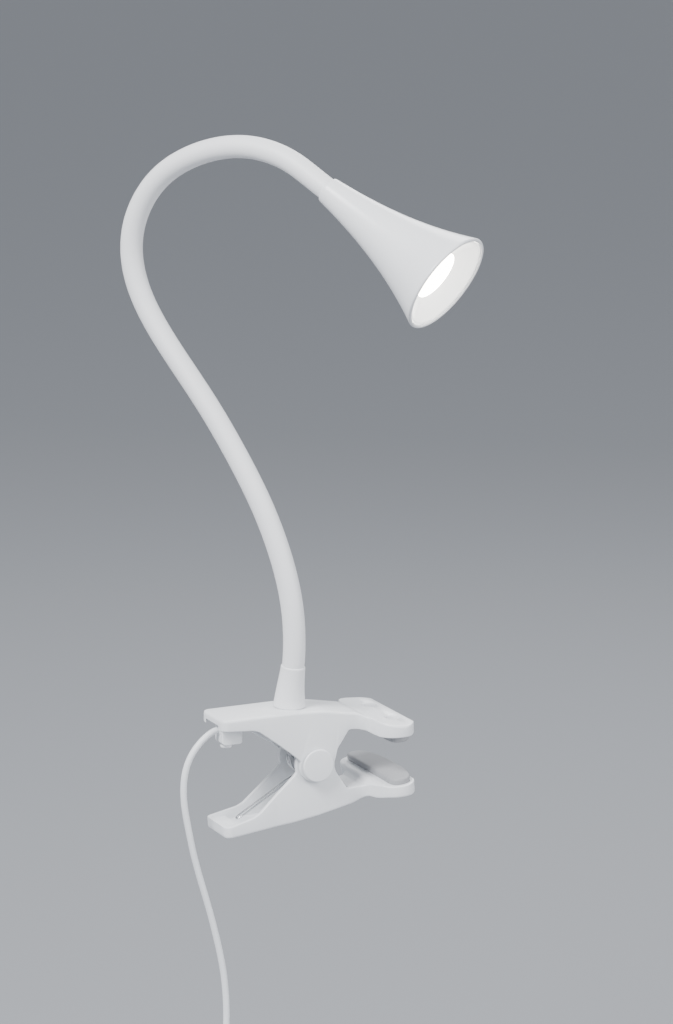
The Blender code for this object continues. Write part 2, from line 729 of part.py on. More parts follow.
def make_head(line, parent, at):
    base, way = neck_at(line, line[2][-1] - CORE_IN_HEAD)
    bore = CORE_R + 2 * GAP + FERRULE_WALL
    depth = 16.0 * MM  # of the collar's socket
    lip = 0.7 * MM
    heights = np.linspace(0, HEAD_LEN - lip, 11)
    outer = [(float(shade_radius(h)), h) for h in heights]
    mouth = [(MOUTH_R - 0.3 * MM, HEAD_LEN), (MOUTH_R - SHADE_WALL + 0.3 * MM, HEAD_LEN)]
    inner = [(float(shade_radius(h)) - SHADE_WALL, h) for h in np.linspace(HEAD_LEN - lip, 24 * MM, 9)]
    socket = [(bore, depth + 3 * MM), (bore, 0)]

    def piece(name, profile, looped=False, sides=24):
        return turned(name, profile, base, way, sides, looped, parent, at)

    white_plastic(piece("head_shade", outer + mouth + inner + socket, True, 32))
    ferrule = tube_profile(bore - GAP, CORE_R + GAP, GAP, CORE_IN_HEAD)
    steel(piece("head_ferrule", ferrule, True, 16))

    def room(h):
        return float(shade_radius(h)) - SHADE_WALL - GAP

    top = DIFFUSER_H + DIFFUSER_T + GAP
    seat = room(DIFFUSER_H) - 0.4 * MM
    end = HEAD_LEN - 1.2 * MM
    half_way = 0.5 * (top + end)
    rim = room(end) - 0.9 * MM
    middle = 0.45 * THROAT_R + 0.55 * rim
    cone = [
        (THROAT_R + CONE_WALL, top),
        (middle + CONE_WALL, half_way),
        (room(end - CONE_WALL), end - CONE_WALL),
        (room(end), end),
        (rim, end),
        (middle, half_way),
        (THROAT_R, top + 0.4 * MM),
        (THROAT_R, top),
    ]
    white_plastic(piece("reflector_cone", cone, True, 32))
    diffuser = piece("diffuser", [(0, DIFFUSER_H), (seat, DIFFUSER_H), (seat, top - GAP), (0, top - GAP)])
    finish(diffuser, (1.0, 0.97, 0.88), 0.5)
    ring_low = DIFFUSER_H - GAP - 4.6 * MM
    seat_ring = tube_profile(room(ring_low), room(ring_low) - 1.5 * MM, ring_low, DIFFUSER_H - GAP)
    white_plastic(piece("diffuser_ring", seat_ring, True, 32))
    chip_high = ring_low + 1.0 * MM
    pcb_low = ring_low - GAP - BOARD_PCB_T
    pcb_r = room(pcb_low) - 0.4 * MM
    pcb = piece("led_board", [(0, pcb_low), (pcb_r, pcb_low), (pcb_r, ring_low - GAP), (0, ring_low - GAP)])
    finish(pcb, (0.88, 0.89, 0.90), 0.45)
    chip_r = 5.5 * MM
    chip = piece("led_chip", [(0, ring_low), (chip_r, ring_low), (chip_r, chip_high), (0, chip_high)])
    finish(chip, (0.95, 0.78, 0.25), 0.4)
    sink_high = pcb_low - GAP
    low = sink_high - SINK_T
    fins = sink_profile(low, sink_high, room)
    aluminium(piece("heat_sink", fins, True, 20))
    lead_r = 1.1 * MM
    lead = [(0, 15.0 * MM), (lead_r, 15.0 * MM), (lead_r, pcb_low - GAP), (0, pcb_low - GAP)]
    wires = piece("head_lead", lead, False, 10)
    finish(wires, (0.75, 0.12, 0.10), 0.5)


def sink_profile(low, high, room):
    """Turned heat sink: a hub with a bore for the wires and three round fins."""
    fin, hub, bore = 1.8 * MM, 4.2 * MM, 1.7 * MM
    step = (high - low - fin) / 3
    profile = []
    for i in range(4):
        base = low + i * step
        edge = room(base) - 0.5 * MM
        profile += [(hub, base), (edge, base), (edge, base + fin)]
        if i < 3:
            profile += [(hub, base + fin)]
    return profile + [(bore, high), (bore, low)]


# ---------------------------------------------------------------- cord


def make_cord_clamp():
    """The block that grips the cord under the rear of the upper jaw, and its screw."""
    low_z = CORD_Z - CLAMP_DROP
    high_z = JAW_TOP - WALL - GAP
    low = (CLAMP_X, -CLAMP_HALF_W, low_z)
    high = (CLAMP_X + CLAMP_L, CLAMP_HALF_W, high_z)
    clamp = box("cord_clamp", low, high, PIVOT, bevel=0.5 * MM)
    start = PIVOT + [CLAMP_X - 5 * MM, 0, CORD_Z]
    cut_round(clamp, "clamp_bore", start, (1, 0, 0), CORD_R + GAP, CLAMP_L + 10 * MM, 12)
    under = PIVOT + [CLAMP_X + SCREW_IN, 0, low_z]
    shank = SCREW_HEAD_R * 0.4
    deep = 2.8 * MM
    bore = shank + 0.35 * MM
    cut_round(clamp, "screw_hole", under - [0, 0, 3 * MM], UP, bore, deep + 3.4 * MM, 12)
    white_plastic(clamp)
    edge = 0.5 * MM
    profile = [
        (0, -SCREW_HEAD_T),
        (SCREW_HEAD_R - edge, -SCREW_HEAD_T),
        (SCREW_HEAD_R, -SCREW_HEAD_T + edge),
        (SCREW_HEAD_R, -GAP),
        (shank, -GAP),
        (shank, deep),
        (0, deep),
    ]
    screw = turned("clamp_screw", profile, under, UP, 16)
    finish(screw, (0.80, 0.81, 0.83), 0.4)


LEAD_ROUTE = (  # inside the upper jaw, from the clamp to the foot of the neck
    (-47.3, 0.0, 20.4),
    (-42.0, 0.0, 20.4),
    (-36.5, 0.0, 20.4),
    (-31.0, 0.0, 19.4),
    (-25.0, 0.0, 15.8),
    (-19.5, 0.0, 12.6),
    (-14.0, 0.0, 11.9),
    (-10.2, 0.0, 14.4),
    (-9.2, 0.0, 17.6),
    (-9.2, 0.0, 20.3),
)

CORD_ROUTE = (  # from the clamp's rear face, out, over and down to the switch
    (-88.6, 0.0, 9.9),
    (-90.8, 0.0, 9.6),
    (-93.2, 0.0, 8.5),
    (-96.2, 0.0, 6.5),
    (-99.9, 0.0, 3.0),
    (-103.9, 0.0, -2.6),
    (-106.5, 0.0, -9.6),
    (-107.5, 0.0, -18.4),
    (-106.9, 0.0, -28.0),
    (-105.2, 0.0, -38.0),
    (-102.8, 0.0, -50.0),
    (-99.8, 0.0, -62.0),
    (-96.4, 0.0, -74.0),
    (-93.1, 0.0, -86.0),
    (-90.1, 0.0, -98.5),
    (-87.4, 0.0, -112.0),
    (-85.9, 0.0, -125.0),
    (-85.5, 0.0, -136.0),
    (-86.0, 0.0, -152.0),
)

LINK_ROUTE = (  # from the switch down to the coil
    (-86.0, 0.0, -204.0),
    (-86.0, 0.0, -210.0),
    (-86.0, 0.0, -217.0),
    (-86.0, 0.0, -223.3),
)

TAIL_ROUTE = (  # from the coil down to the plug
    (-86.0, 0.0, -272.7),
    (-86.0, 0.0, -279.0),
    (-86.0, 0.0, -286.0),
    (-86.0, 0.0, -293.0),
)


def make_coil():
    """Outer shape of the tied coil, a turned ring hanging on edge, and its tie."""
    centre = np.array([HANG_X, 0.0, SWITCH_TOP - COIL_DROP])
    edge = 2.2 * MM
    profile = [
        (COIL_IN_R + edge, -COIL_HALF_T),
        (COIL_OUT_R - edge, -COIL_HALF_T),
        (COIL_OUT_R, -COIL_HALF_T + edge),
        (COIL_OUT_R, COIL_HALF_T - edge),
        (COIL_OUT_R - edge, COIL_HALF_T),
        (COIL_IN_R + edge, COIL_HALF_T),
        (COIL_IN_R, COIL_HALF_T - edge),
        (COIL_IN_R, -COIL_HALF_T + edge),
    ]
    white_silicone(turned("cord_coil", profile, centre, (0, 1, 0), 28, looped=True))
    half, thick = TIE_HALF_W, TIE_T
    sag = COIL_OUT_R - math.sqrt(COIL_OUT_R**2 - half**2)
    inner = (COIL_HALF_T + GAP, COIL_IN_R - GAP - 0.7 * MM, COIL_OUT_R + GAP)
    low = (inner[1] - thick, -inner[0] - thick, -half)
    high = (inner[2] + thick, inner[0] + thick, half)
    tie = box("cord_tie", low, high, centre, bevel=0.8 * MM)
    low = (inner[1] - sag, -inner[0], -half - 5 * MM)
    high = (inner[2], inner[0], half + 5 * MM)
    combine(tie, box("tie_room", low, high, centre), "DIFFERENCE")
    finish(tie, (0.05, 0.05, 0.055), 0.6)


def make_switch():
    """In-line rocker switch: two housing halves, a rocker and a contact strip."""
    centre = np.array([HANG_X, 0.0, SWITCH_TOP - SWITCH_L / 2])
    half_w, half_t, half_l = SWITCH_W / 2, SWITCH_T / 2, SWITCH_L / 2
    wall = 1.8 * MM
    bore = CORD_R + GAP
    for name, low_y, high_y in (
        ("switch_cover", -half_t, -GAP / 2),
        ("switch_base", GAP / 2, half_t),
    ):
        shell = box(name, (-half_w, low_y, -half_l), (half_w, high_y, half_l), centre, bevel=1.6 * MM)
        room = (half_w - wall, half_t - wall, half_l - 7 * MM)
        tool = box(f"{name}_room", [-v for v in room], room, centre)
        combine(shell, tool, "DIFFERENCE")
        low = centre - [0, 0, half_l + 5 * MM]
        cut_round(shell, f"{name}_bore", low, UP, bore, SWITCH_L + 10 * MM, 12)
        white_plastic(shell)
        if name == "switch_cover":
            window = (4.7 * MM, half_t + 2 * MM, 8.2 * MM)
            low = (-window[0], -window[1], -window[2])
            high = (window[0], -wall / 2, window[2])
            combine(shell, box("switch_window", low, high, centre), "DIFFERENCE")
    axis = centre + [0, -half_t + 2.4 * MM, 0]
    hinge = hinge_empty("rocker_hinge", axis)
    hinge.rotation_euler = (math.radians(7), 0, 0)
    across, reach = 4.2 * MM, 7.2 * MM
    crown = [(-reach, -2.6), (-3.6 * MM, -3.2), (0, -3.4), (3.6 * MM, -3.2), (reach, -2.6)]
    outline = [(z, y * MM) for z, y in crown] + [(reach, 1.2 * MM), (-reach, 1.2 * MM)]
    points = [np.array([-across, y, z]) for z, y in outline]
    rocker = extruded("switch_rocker", points, (2 * across, 0, 0), hinge)
    finish(rocker, (0.88, 0.89, 0.90), 0.3)
    low = (-3 * MM, half_t - wall - 2.0 * MM, -15 * MM)
    high = (3 * MM, half_t - wall - GAP, 15 * MM)
    brass(box("switch_contact", low, high, centre))


def make_plug():
    """Plug-in LED supply: two housing shells, circuit board, two pins and a cord relief."""
    top = TAIL_ROUTE[-1][2] * MM
    neck = top - RELIEF_L
    centre = np.array([HANG_X, 0.0, neck - GAP - PLUG_L / 2])
    profile = [
        (0.0, 0.0),
        (CORD_R + 0.9 * MM, 0.0),
        (CORD_R + 1.7 * MM, RELIEF_L * 0.45),
        (RELIEF_END_R, RELIEF_L),
        (0.0, RELIEF_L),
    ]
    base = np.array([HANG_X, 0.0, top - GAP])
    relief = turned("plug_relief", profile, base, -UP, 20)
    white_silicone(relief)
    half_w, half_t, half_l = PLUG_W / 2, PLUG_T / 2, PLUG_L / 2
    wall = 1.8 * MM
    pin_y = half_t - 1.0 * MM
    for name, low_y, high_y in (
        ("plug_cover", -half_t, -GAP / 2),
        ("plug_base", GAP / 2, half_t),
    ):
        low, high = (-half_w, low_y, -half_l), (half_w, high_y, half_l - GAP)
        shell = box(name, low, high, centre, bevel=2.4 * MM)
        room = (half_w - wall, half_t - wall, half_l - wall)
        combine(shell, box(f"{name}_room", [-v for v in room], room, centre), "DIFFERENCE")
        if name == "plug_base":
            for i, side in enumerate((-1, 1)):
                start = centre + [side * PIN_PITCH / 2, 0, PIN_RISE]
                radius = PLUG_PIN_R + GAP
                cut_round(shell, f"pin_hole_{i}", start, (0, 1, 0), radius, 30 * MM, 12)
        white_plastic(shell)
    for name, side in (("plug_pin_left", -1), ("plug_pin_right", 1)):
        start = centre + [side * PIN_PITCH / 2, pin_y - 6 * MM, PIN_RISE]
        length = PLUG_PIN_L + 7 * MM
        profile = [(PLUG_PIN_R, 0), (PLUG_PIN_R, length - 1 * MM), (PLUG_PIN_R - 0.7 * MM, length)]
        brass(turned(name, profile, start, (0, 1, 0), 12))
    low = (-half_w + wall + 1 * MM, -2.5 * MM, -half_l + wall + 1 * MM)
    high = (half_w - wall - 1 * MM, -1.1 * MM, half_l - wall - 1 * MM)
    board = box("plug_board", low, high, centre)
    finish(board, (0.05, 0.30, 0.14), 0.5)


def make_cord():
    make_cord_clamp()
    lead = np.array(LEAD_ROUTE) * MM + PIVOT
    cord_tube("lead_in_jaw", lead, 4.0 * MM, GAP)
    cord_tube("cord_lead", np.array(CORD_ROUTE) * MM, 4.0 * MM, GAP)
    make_switch()
    cord_tube("cord_link", np.array(LINK_ROUTE) * MM, 6.0 * MM, GAP)
    make_coil()
    cord_tube("cord_tail", np.array(TAIL_ROUTE) * MM, 6.0 * MM, GAP)
    make_plug()


clear_scene()
make_clip()
make_head(*make_neck())
make_cord()
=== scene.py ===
"""Looks of a clip-on reading lamp: soft studio view, cords at real length and every surface's finish.

The frame's origin is on the gripped board's top; +X points to the jaw tips and +Z up. Metres.
"""

import json
import math

import bmesh
import bpy
import numpy as np
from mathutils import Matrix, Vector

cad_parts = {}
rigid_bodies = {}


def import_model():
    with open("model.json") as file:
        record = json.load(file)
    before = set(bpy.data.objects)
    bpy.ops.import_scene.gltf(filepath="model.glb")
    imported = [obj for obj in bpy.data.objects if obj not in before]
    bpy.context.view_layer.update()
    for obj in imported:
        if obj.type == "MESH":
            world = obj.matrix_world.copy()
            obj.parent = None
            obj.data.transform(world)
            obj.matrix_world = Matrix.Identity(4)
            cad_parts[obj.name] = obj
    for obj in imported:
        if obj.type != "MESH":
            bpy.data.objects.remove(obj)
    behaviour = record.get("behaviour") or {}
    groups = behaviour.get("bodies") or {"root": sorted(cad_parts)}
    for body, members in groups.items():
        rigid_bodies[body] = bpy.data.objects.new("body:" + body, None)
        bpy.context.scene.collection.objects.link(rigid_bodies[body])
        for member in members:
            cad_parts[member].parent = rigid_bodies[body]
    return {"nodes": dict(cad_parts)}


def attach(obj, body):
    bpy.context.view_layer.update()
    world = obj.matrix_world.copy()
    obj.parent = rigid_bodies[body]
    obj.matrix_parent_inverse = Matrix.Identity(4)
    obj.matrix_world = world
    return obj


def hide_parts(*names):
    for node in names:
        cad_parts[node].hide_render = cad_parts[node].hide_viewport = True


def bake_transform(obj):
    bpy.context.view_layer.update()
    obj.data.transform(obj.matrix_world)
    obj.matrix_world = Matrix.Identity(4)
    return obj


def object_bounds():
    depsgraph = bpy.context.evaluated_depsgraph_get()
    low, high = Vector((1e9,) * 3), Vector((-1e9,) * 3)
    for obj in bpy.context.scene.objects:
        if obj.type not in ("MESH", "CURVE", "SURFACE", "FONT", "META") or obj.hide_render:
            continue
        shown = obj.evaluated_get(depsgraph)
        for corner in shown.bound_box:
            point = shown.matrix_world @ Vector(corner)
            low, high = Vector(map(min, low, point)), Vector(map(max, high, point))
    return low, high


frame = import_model()
cad_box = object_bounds()


# ---------------------------------------------------------------- camera
# A long lens looks slightly down on the clip's near side from the handle end. The picture is
# taller than it is wide, so the sensor's 36 mm is its height.

eye = bpy.data.objects.new("camera", bpy.data.cameras.new("camera"))
eye.data.lens = 123.2
eye.data.sensor_width = 36.0
eye.location = (-0.7504, -1.5146, 0.4729)
eye.rotation_euler = (math.radians(90 - 12.1), 0, math.radians(-25.6))
bpy.context.scene.collection.objects.link(eye)
bpy.context.scene.camera = eye


# ---------------------------------------------------------------- floor
# A plain pale studio floor below the hanging plug, wide enough to reach past the view.

FLOOR_Z = cad_box[0][2] - 0.004


def nodes_of(material):
    """The node tree of a new material: (nodes, links, its Principled shader)."""
    material.use_nodes = True
    nodes, links = material.node_tree.nodes, material.node_tree.links
    return nodes, links, nodes["Principled BSDF"]


sheet = bpy.data.meshes.new("floor")
reach = 40.0
sheet.from_pydata(
    [(-reach, -reach, FLOOR_Z), (reach, -reach, FLOOR_Z), (reach, reach, FLOOR_Z), (-reach, reach, FLOOR_Z)],
    [],
    [(0, 1, 2, 3)],
)
sheet.materials.append(bpy.data.materials.new("floor_paper"))
_, _, paper = nodes_of(sheet.materials[0])
paper.inputs["Base Color"].default_value = (0.27, 0.28, 0.30, 1)
paper.inputs["Roughness"].default_value = 0.95
floor = bpy.data.objects.new("floor", sheet)
bpy.context.scene.collection.objects.link(floor)


# ---------------------------------------------------------------- light
# A soft box above the handle side, a weaker one in front, a small one behind and an even room.


def soft_box(name, place, target, width, power, colour=(1, 1, 1)):
    """A square area lamp at place, turned to face target."""
    data = bpy.data.lights.new(name, "AREA")
    data.size = width
    data.energy = power
    data.color = colour
    lamp = bpy.data.objects.new(name, data)
    away = np.asarray(place, float) - np.asarray(target, float)
    turn = math.atan2(away[1], away[0]) + math.pi / 2
    tilt = math.atan2(math.hypot(away[0], away[1]), away[2])
    lamp.location = place
    lamp.rotation_euler = (tilt, 0, turn)
    bpy.context.scene.collection.objects.link(lamp)


soft_box("key", (-1.45, -0.65, 1.65), (-0.05, 0, 0.1), 0.8, 92)
soft_box("front", (0.95, -1.40, 0.60), (-0.05, 0, 0.1), 1.3, 27)
soft_box("far_rim", (0.9, 1.2, 1.2), (-0.05, 0, 0.1), 0.9, 16)
room = bpy.data.worlds.new("room")
room.use_nodes = True
room.node_tree.nodes["Background"].inputs["Color"].default_value = (0.80, 0.83, 0.88, 1)
room.node_tree.nodes["Background"].inputs["Strength"].default_value = 0.85
bpy.context.scene.world = room


# ---------------------------------------------------------------- cord to the switch
# Round two-core lamp flex with a soft white jacket. It is gripped by the clip's block, bows out
# behind the handles and hangs straight down into the in-line switch.

CORD_R = 0.0016
CORD_ROUTE = [  # from the clamp's rear face to the switch
    (-0.0886, 0.0, 0.0099),
    (-0.0908, 0.0, 0.0096),
    (-0.0932, 0.0, 0.0085),
    (-0.0962, 0.0, 0.0065),
    (-0.0999, 0.0, 0.0030),
    (-0.1039, 0.0, -0.0026),
    (-0.1065, 0.0, -0.0096),
    (-0.1075, 0.0, -0.0184),
    (-0.1069, 0.0, -0.0280),
    (-0.1052, 0.0, -0.0380),
    (-0.1028, 0.0, -0.0500),
    (-0.0998, 0.0, -0.0620),
    (-0.0964, 0.0, -0.0740),
    (-0.0931, 0.0, -0.0860),
    (-0.0901, 0.0, -0.0985),
    (-0.0874, 0.0, -0.1120),
    (-0.0859, 0.0, -0.1250),
    (-0.0855, 0.0, -0.1360),
    (-0.0860, 0.0, -0.1520),
]


def smooth_path(points, step):
    """Points every step along the natural cubic spline through the given points.

    The second derivatives solve the usual three-term rows; each span is then the cubic that
    has the right ends and second derivatives, and the line is read again at even lengths.
    """
    p = np.asarray(points, float)
    t = np.r_[0, np.cumsum(np.linalg.norm(np.diff(p, axis=0), axis=1))]
    h = np.diff(t)
    n = len(p)
    inner = np.arange(1, n - 1)
    rows = np.eye(n)
    rows[inner, inner - 1] = h[:-1]
    rows[inner, inner] = 2 * (h[:-1] + h[1:])
    rows[inner, inner + 1] = h[1:]
    slope = np.diff(p, axis=0) / h[:, None]
    bend = np.zeros_like(p)
    bend[1:-1] = 6 * np.diff(slope, axis=0)
    bend = np.linalg.solve(rows, bend)
    fine = np.linspace(0, t[-1], 60 * n)
    k = np.clip(np.searchsorted(t, fine, side="right") - 1, 0, n - 2)
    u, w, hk = (fine - t[k])[:, None], (t[k + 1] - fine)[:, None], h[k][:, None]
    q = (bend[k] * w**3 + bend[k + 1] * u**3) / (6 * hk)
    q += (p[k] / hk - bend[k] * hk / 6) * w + (p[k + 1] / hk - bend[k + 1] * hk / 6) * u
    s = np.r_[0, np.cumsum(np.linalg.norm(np.diff(q, axis=0), axis=1))]
    at = np.linspace(0, s[-1], max(2, round(s[-1] / step) + 1))
    return np.stack([np.interp(at, s, q[:, c]) for c in range(p.shape[1])], 1)


def grid_quads(rows, cols, loop_rows=False, loop_cols=True):
    """Quads that join each point of a rows x cols grid to its next row and next column."""
    i = np.arange(rows if loop_rows else rows - 1)[:, None]
    j = np.arange(cols if loop_cols else cols - 1)[None, :]
    right, down = (j + 1) % cols, (i + 1) % rows
    corners = [i * cols + j, i * cols + right, down * cols + right, down * cols + j]
    return np.stack(np.broadcast_arrays(*corners), -1).reshape(-1, 4)


def make_piece(name, points, quads, sharp=38.0):
    """One mesh object of the points and quads, its doubles merged and its faces outwards."""
    mesh = bpy.data.meshes.new(name)
    mesh.vertices.add(len(points))
    mesh.vertices.foreach_set("co", np.asarray(points, np.float32).ravel())
    mesh.loops.add(quads.size)
    mesh.loops.foreach_set("vertex_index", quads.astype(np.int32).ravel())
    mesh.polygons.add(len(quads))
    mesh.polygons.foreach_set("loop_start", np.arange(0, quads.size, 4, dtype=np.int32))
    mesh.update(calc_edges=True)
    obj = bpy.data.objects.new(name, mesh)
    bpy.context.scene.collection.objects.link(obj)
    tidy_mesh(obj, sharp)
    return obj


def tidy_mesh(obj, sharp=38.0):
    """Merge points under 2 micrometres apart, turn the faces outwards, smooth up to an angle."""
    bm = bmesh.new()
    bm.from_mesh(obj.data)
    bmesh.ops.remove_doubles(bm, verts=bm.verts, dist=2e-6)
    bmesh.ops.dissolve_degenerate(bm, edges=bm.edges, dist=1e-7)
    bmesh.ops.recalc_face_normals(bm, faces=bm.faces)
    bm.to_mesh(obj.data)
    bm.free()
    obj.data.shade_smooth()
    obj.data.set_sharp_from_angle(angle=math.radians(sharp))


def across(way):
    """Two unit directions square to way, and to each other."""
    way = np.asarray(way, float) / np.linalg.norm(way)
    helper = np.array([0.0, 0, 1]) if abs(way[2]) < 0.9 else np.array([1.0, 0, 0])
    e1 = np.cross(helper, way)
    e1 /= np.linalg.norm(e1)
    return e1, np.cross(way, e1)


def capped(rings):
    """Rings with one more at each end, drawn in to the end ring's middle, which closes them."""
    first = np.repeat(rings[:1].mean(1, keepdims=True), rings.shape[1], 1)
    last = np.repeat(rings[-1:].mean(1, keepdims=True), rings.shape[1], 1)
    return np.concatenate([first, rings, last])


def skinned(name, rings, looped=False, sharp=38.0):
    """A closed surface over a stack of rings; looped joins the last ring to the first."""
    if not looped:
        rings = capped(rings)
    rows, cols = rings.shape[:2]
    return make_piece(name, rings.reshape(-1, 3), grid_quads(rows, cols, looped), sharp)


def swept_rings(path, radius, sides, side):
    """Circles square to a path: side is kept square to the way by taking off its part along it."""
    path = np.asarray(path, float)
    way = np.gradient(path, axis=0)
    way /= np.linalg.norm(way, axis=1)[:, None]
    e1 = side - way * (way @ side)[:, None]
    e1 /= np.linalg.norm(e1, axis=1)[:, None]
    e2 = np.cross(way, e1)
    turn = np.linspace(0, 2 * np.pi, sides, endpoint=False)
    round_ = e1[:, None] * np.cos(turn)[:, None] + e2[:, None] * np.sin(turn)[:, None]
    radius = np.broadcast_to(radius, len(path))
    return path[:, None] + radius[:, None, None] * round_


def grain(nodes, links, shader, scale, rough, spread, bump, relief=0.00004):
    """Fine moulding grain: noise moves the roughness about its middle and lifts the surface."""
    place = nodes.new("ShaderNodeTexCoord")
    noise = nodes.new("ShaderNodeTexNoise")
    noise.inputs["Scale"].default_value = scale
    noise.inputs["Detail"].default_value = 4
    links.new(place.outputs["Object"], noise.inputs["Vector"])
    span = nodes.new("ShaderNodeMapRange")
    span.inputs["To Min"].default_value = rough - spread
    span.inputs["To Max"].default_value = rough + spread
    links.new(noise.outputs["Fac"], span.inputs["Value"])
    links.new(span.outputs[0], shader.inputs["Roughness"])
    lift = nodes.new("ShaderNodeBump")
    lift.inputs["Strength"].default_value = bump
    lift.inputs["Distance"].default_value = relief
    links.new(noise.outputs["Fac"], lift.inputs["Height"])
    links.new(lift.outputs["Normal"], shader.inputs["Normal"])
    return place, noise


def cloudy(nodes, links, shader, place, colour, other, scale=60.0):
    """A slow noise moves the colour a little way between two near tints."""
    cloud = nodes.new("ShaderNodeTexNoise")
    cloud.inputs["Scale"].default_value = scale
    cloud.inputs["Detail"].default_value = 2
    links.new(place.outputs["Object"], cloud.inputs["Vector"])
    blend = nodes.new("ShaderNodeMix")
    blend.data_type = "RGBA"
    blend.inputs["A"].default_value = (*colour, 1)
    blend.inputs["B"].default_value = (*other, 1)
    links.new(cloud.outputs["Fac"], blend.inputs["Factor"])
    links.new(blend.outputs["Result"], shader.inputs["Base Color"])


def moulded(name, grain_values, colour, other, cloud_scale, weight, depth):
    """A moulded soft or hard plastic: grain, two near tints and light that spreads under its skin.

    Gives the material and its shader, so that a caller can add a coat or a sheen.
    """
    material = bpy.data.materials.new(name)
    nodes, links, shader = nodes_of(material)
    place, _ = grain(nodes, links, shader, *grain_values)
    cloudy(nodes, links, shader, place, colour, other, cloud_scale)
    shader.inputs["Subsurface Weight"].default_value = weight
    shader.inputs["Subsurface Radius"].default_value = depth
    return material, shader


def fitted(obj, material, body, *nodes):
    """Give a piece its finish, fasten it to a body and let it stand for CAD nodes."""
    obj.data.materials.append(material)
    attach(obj, body)
    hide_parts(*nodes)


jacket, _ = moulded(  # soft white PVC: satin, with a faint even grain
    "cord_jacket", (2500, 0.42, 0.05, 0.15), (0.76, 0.78, 0.81), (0.80, 0.82, 0.84), 90, 0.08, (0.002,) * 3
)
SIDEWAYS = np.array([0.0, 1.0, 0.0])
cord_path = smooth_path(CORD_ROUTE, 0.002)
flex = skinned("cord_flex", swept_rings(cord_path, CORD_R, 20, SIDEWAYS))
fitted(flex, jacket, "clip", "cord_lead")


# ---------------------------------------------------------------- cord with its tied coil
# The rest of the flex: from the switch it swings round into a tied coil of twelve turns, which
# hangs on edge, and its other end leaves the inner layer and drops into the plug's relief.

COIL_C = np.array([-0.086, 0.0, -0.248])
PITCH = 2 * CORD_R + 0.00006
COIL_LAYERS = (4, 4, 3, 1)  # turns in each layer, from the outermost inwards
OUTER_R = 0.0231
SHIFT = math.radians(56)  # the arc over which the flex steps to its next place


def coil_cells():
    """(radius, y) of each turn's place, weaving over and back through the layers.

    Even layers run towards +y and odd ones back; each layer starts beside the last one's end.
    """
    cells = []
    for layer, turns in enumerate(COIL_LAYERS):
        column = np.arange(turns)
        if layer % 2:
            column = COIL_LAYERS[0] - 1 - column
        y = (column - (COIL_LAYERS[0] - 1) / 2) * PITCH
        cells += [(OUTER_R - layer * PITCH, v) for v in y]
    return np.array(cells)


def coil_line(points_per_turn=40):
    """The coil's turns: a circle whose radius and y step, by a smooth ramp, from cell to cell.

    A step sideways comes one whole turn after the step before it; a step straight inwards, and
    the one after it, come a sixth of a turn early, so that the place is free by then.
    """
    cells = coil_cells()
    jumps = np.diff(cells, axis=0)
    inwards = np.abs(jumps[:, 1]) < 1e-6
    early = np.cumsum(np.r_[0, inwards[:-1]]) + np.cumsum(inwards)
    step_at = math.radians(400) + 2 * np.pi * np.arange(len(jumps)) - math.radians(60) * early
    turn = np.arange(math.radians(90), step_at[-1] + math.radians(320), 2 * np.pi / points_per_turn)
    ramp = np.clip((turn[:, None] - step_at) / SHIFT + 0.5, 0, 1)
    place = cells[0] + (ramp * ramp * (3 - 2 * ramp)) @ jumps
    radius, y = place[:, 0], place[:, 1]
    return COIL_C + np.stack([radius * np.sin(turn), y, radius * np.cos(turn)], 1)


coil = coil_line()
lead_in = COIL_C + np.array(  # from the switch to the outer turn
    [
        (0.0, 0.0, 0.0440),
        (0.0003, -0.0002, 0.0395),
        (0.0030, -0.0010, 0.0345),
        (0.0082, -0.0022, 0.0292),
        (0.0140, -0.0034, 0.0240),
        (0.0188, -0.0043, 0.0180),
        (0.0218, -0.0048, 0.0120),
        (0.0230, -0.0049, 0.0050),
    ]
)
lead_out = COIL_C + np.array(  # from the inner turn over the coil's side to the plug
    [
        (0.0089, 0.0066, -0.0106),
        (0.0070, 0.0081, -0.0150),
        (0.0055, 0.0088, -0.0200),
        (0.0042, 0.0088, -0.0255),
        (0.0028, 0.0072, -0.0310),
        (0.0012, 0.0038, -0.0365),
        (0.0002, 0.0010, -0.0415),
        (0.0, 0.0, -0.0452),
        (0.0, 0.0, -0.0550),
        (0.0, 0.0, -0.0648),
    ]
)
rest_route = np.concatenate([lead_in, coil[2::3], lead_out])
rest_path = smooth_path(rest_route, 0.0022)
rest = skinned("cord_rest", swept_rings(rest_path, CORD_R, 14, np.array([0.02, 1.0, 0.03])))
fitted(rest, jacket, "clip", "cord_link", "cord_coil", "cord_tail")


# ---------------------------------------------------------------- upper jaw
# The fixed half of the clip, one moulding in white ABS: a hollow handle and round ears on the
# pivot, then a flat paddle with two holes that the grip pad's studs snap into.

MM = 0.001
PIVOT = np.array([-0.0413, 0.0, -0.0105])
PAD_TOP, PAD_FACE, PAD_HALF = 19.5, 13.5, 30.0
PADDLE_CORNER = (47.3, 24.2)  # where the paddle's side meets its bowed front edge
FRONT_BOW, BOW_POWER = 3.2, 2.6
NOSE_AT, NOSE_R = 46.6, 0.7  # the front edges are rounded from here on
CORNER_R = 3.5  # rear corners in plan
WING = np.array(  # half plan of the paddle: x, share of the way from waist to widest
    [
        (18.0, 0.0),
        (23.0, 0.01),
        (26.4, 0.13),
        (27.8, 0.40),
        (29.3, 0.68),
        (32.9, 0.92),
        (37.9, 1.0),
        (43.2, 0.93),
        (47.3, 0.66),
    ]
)


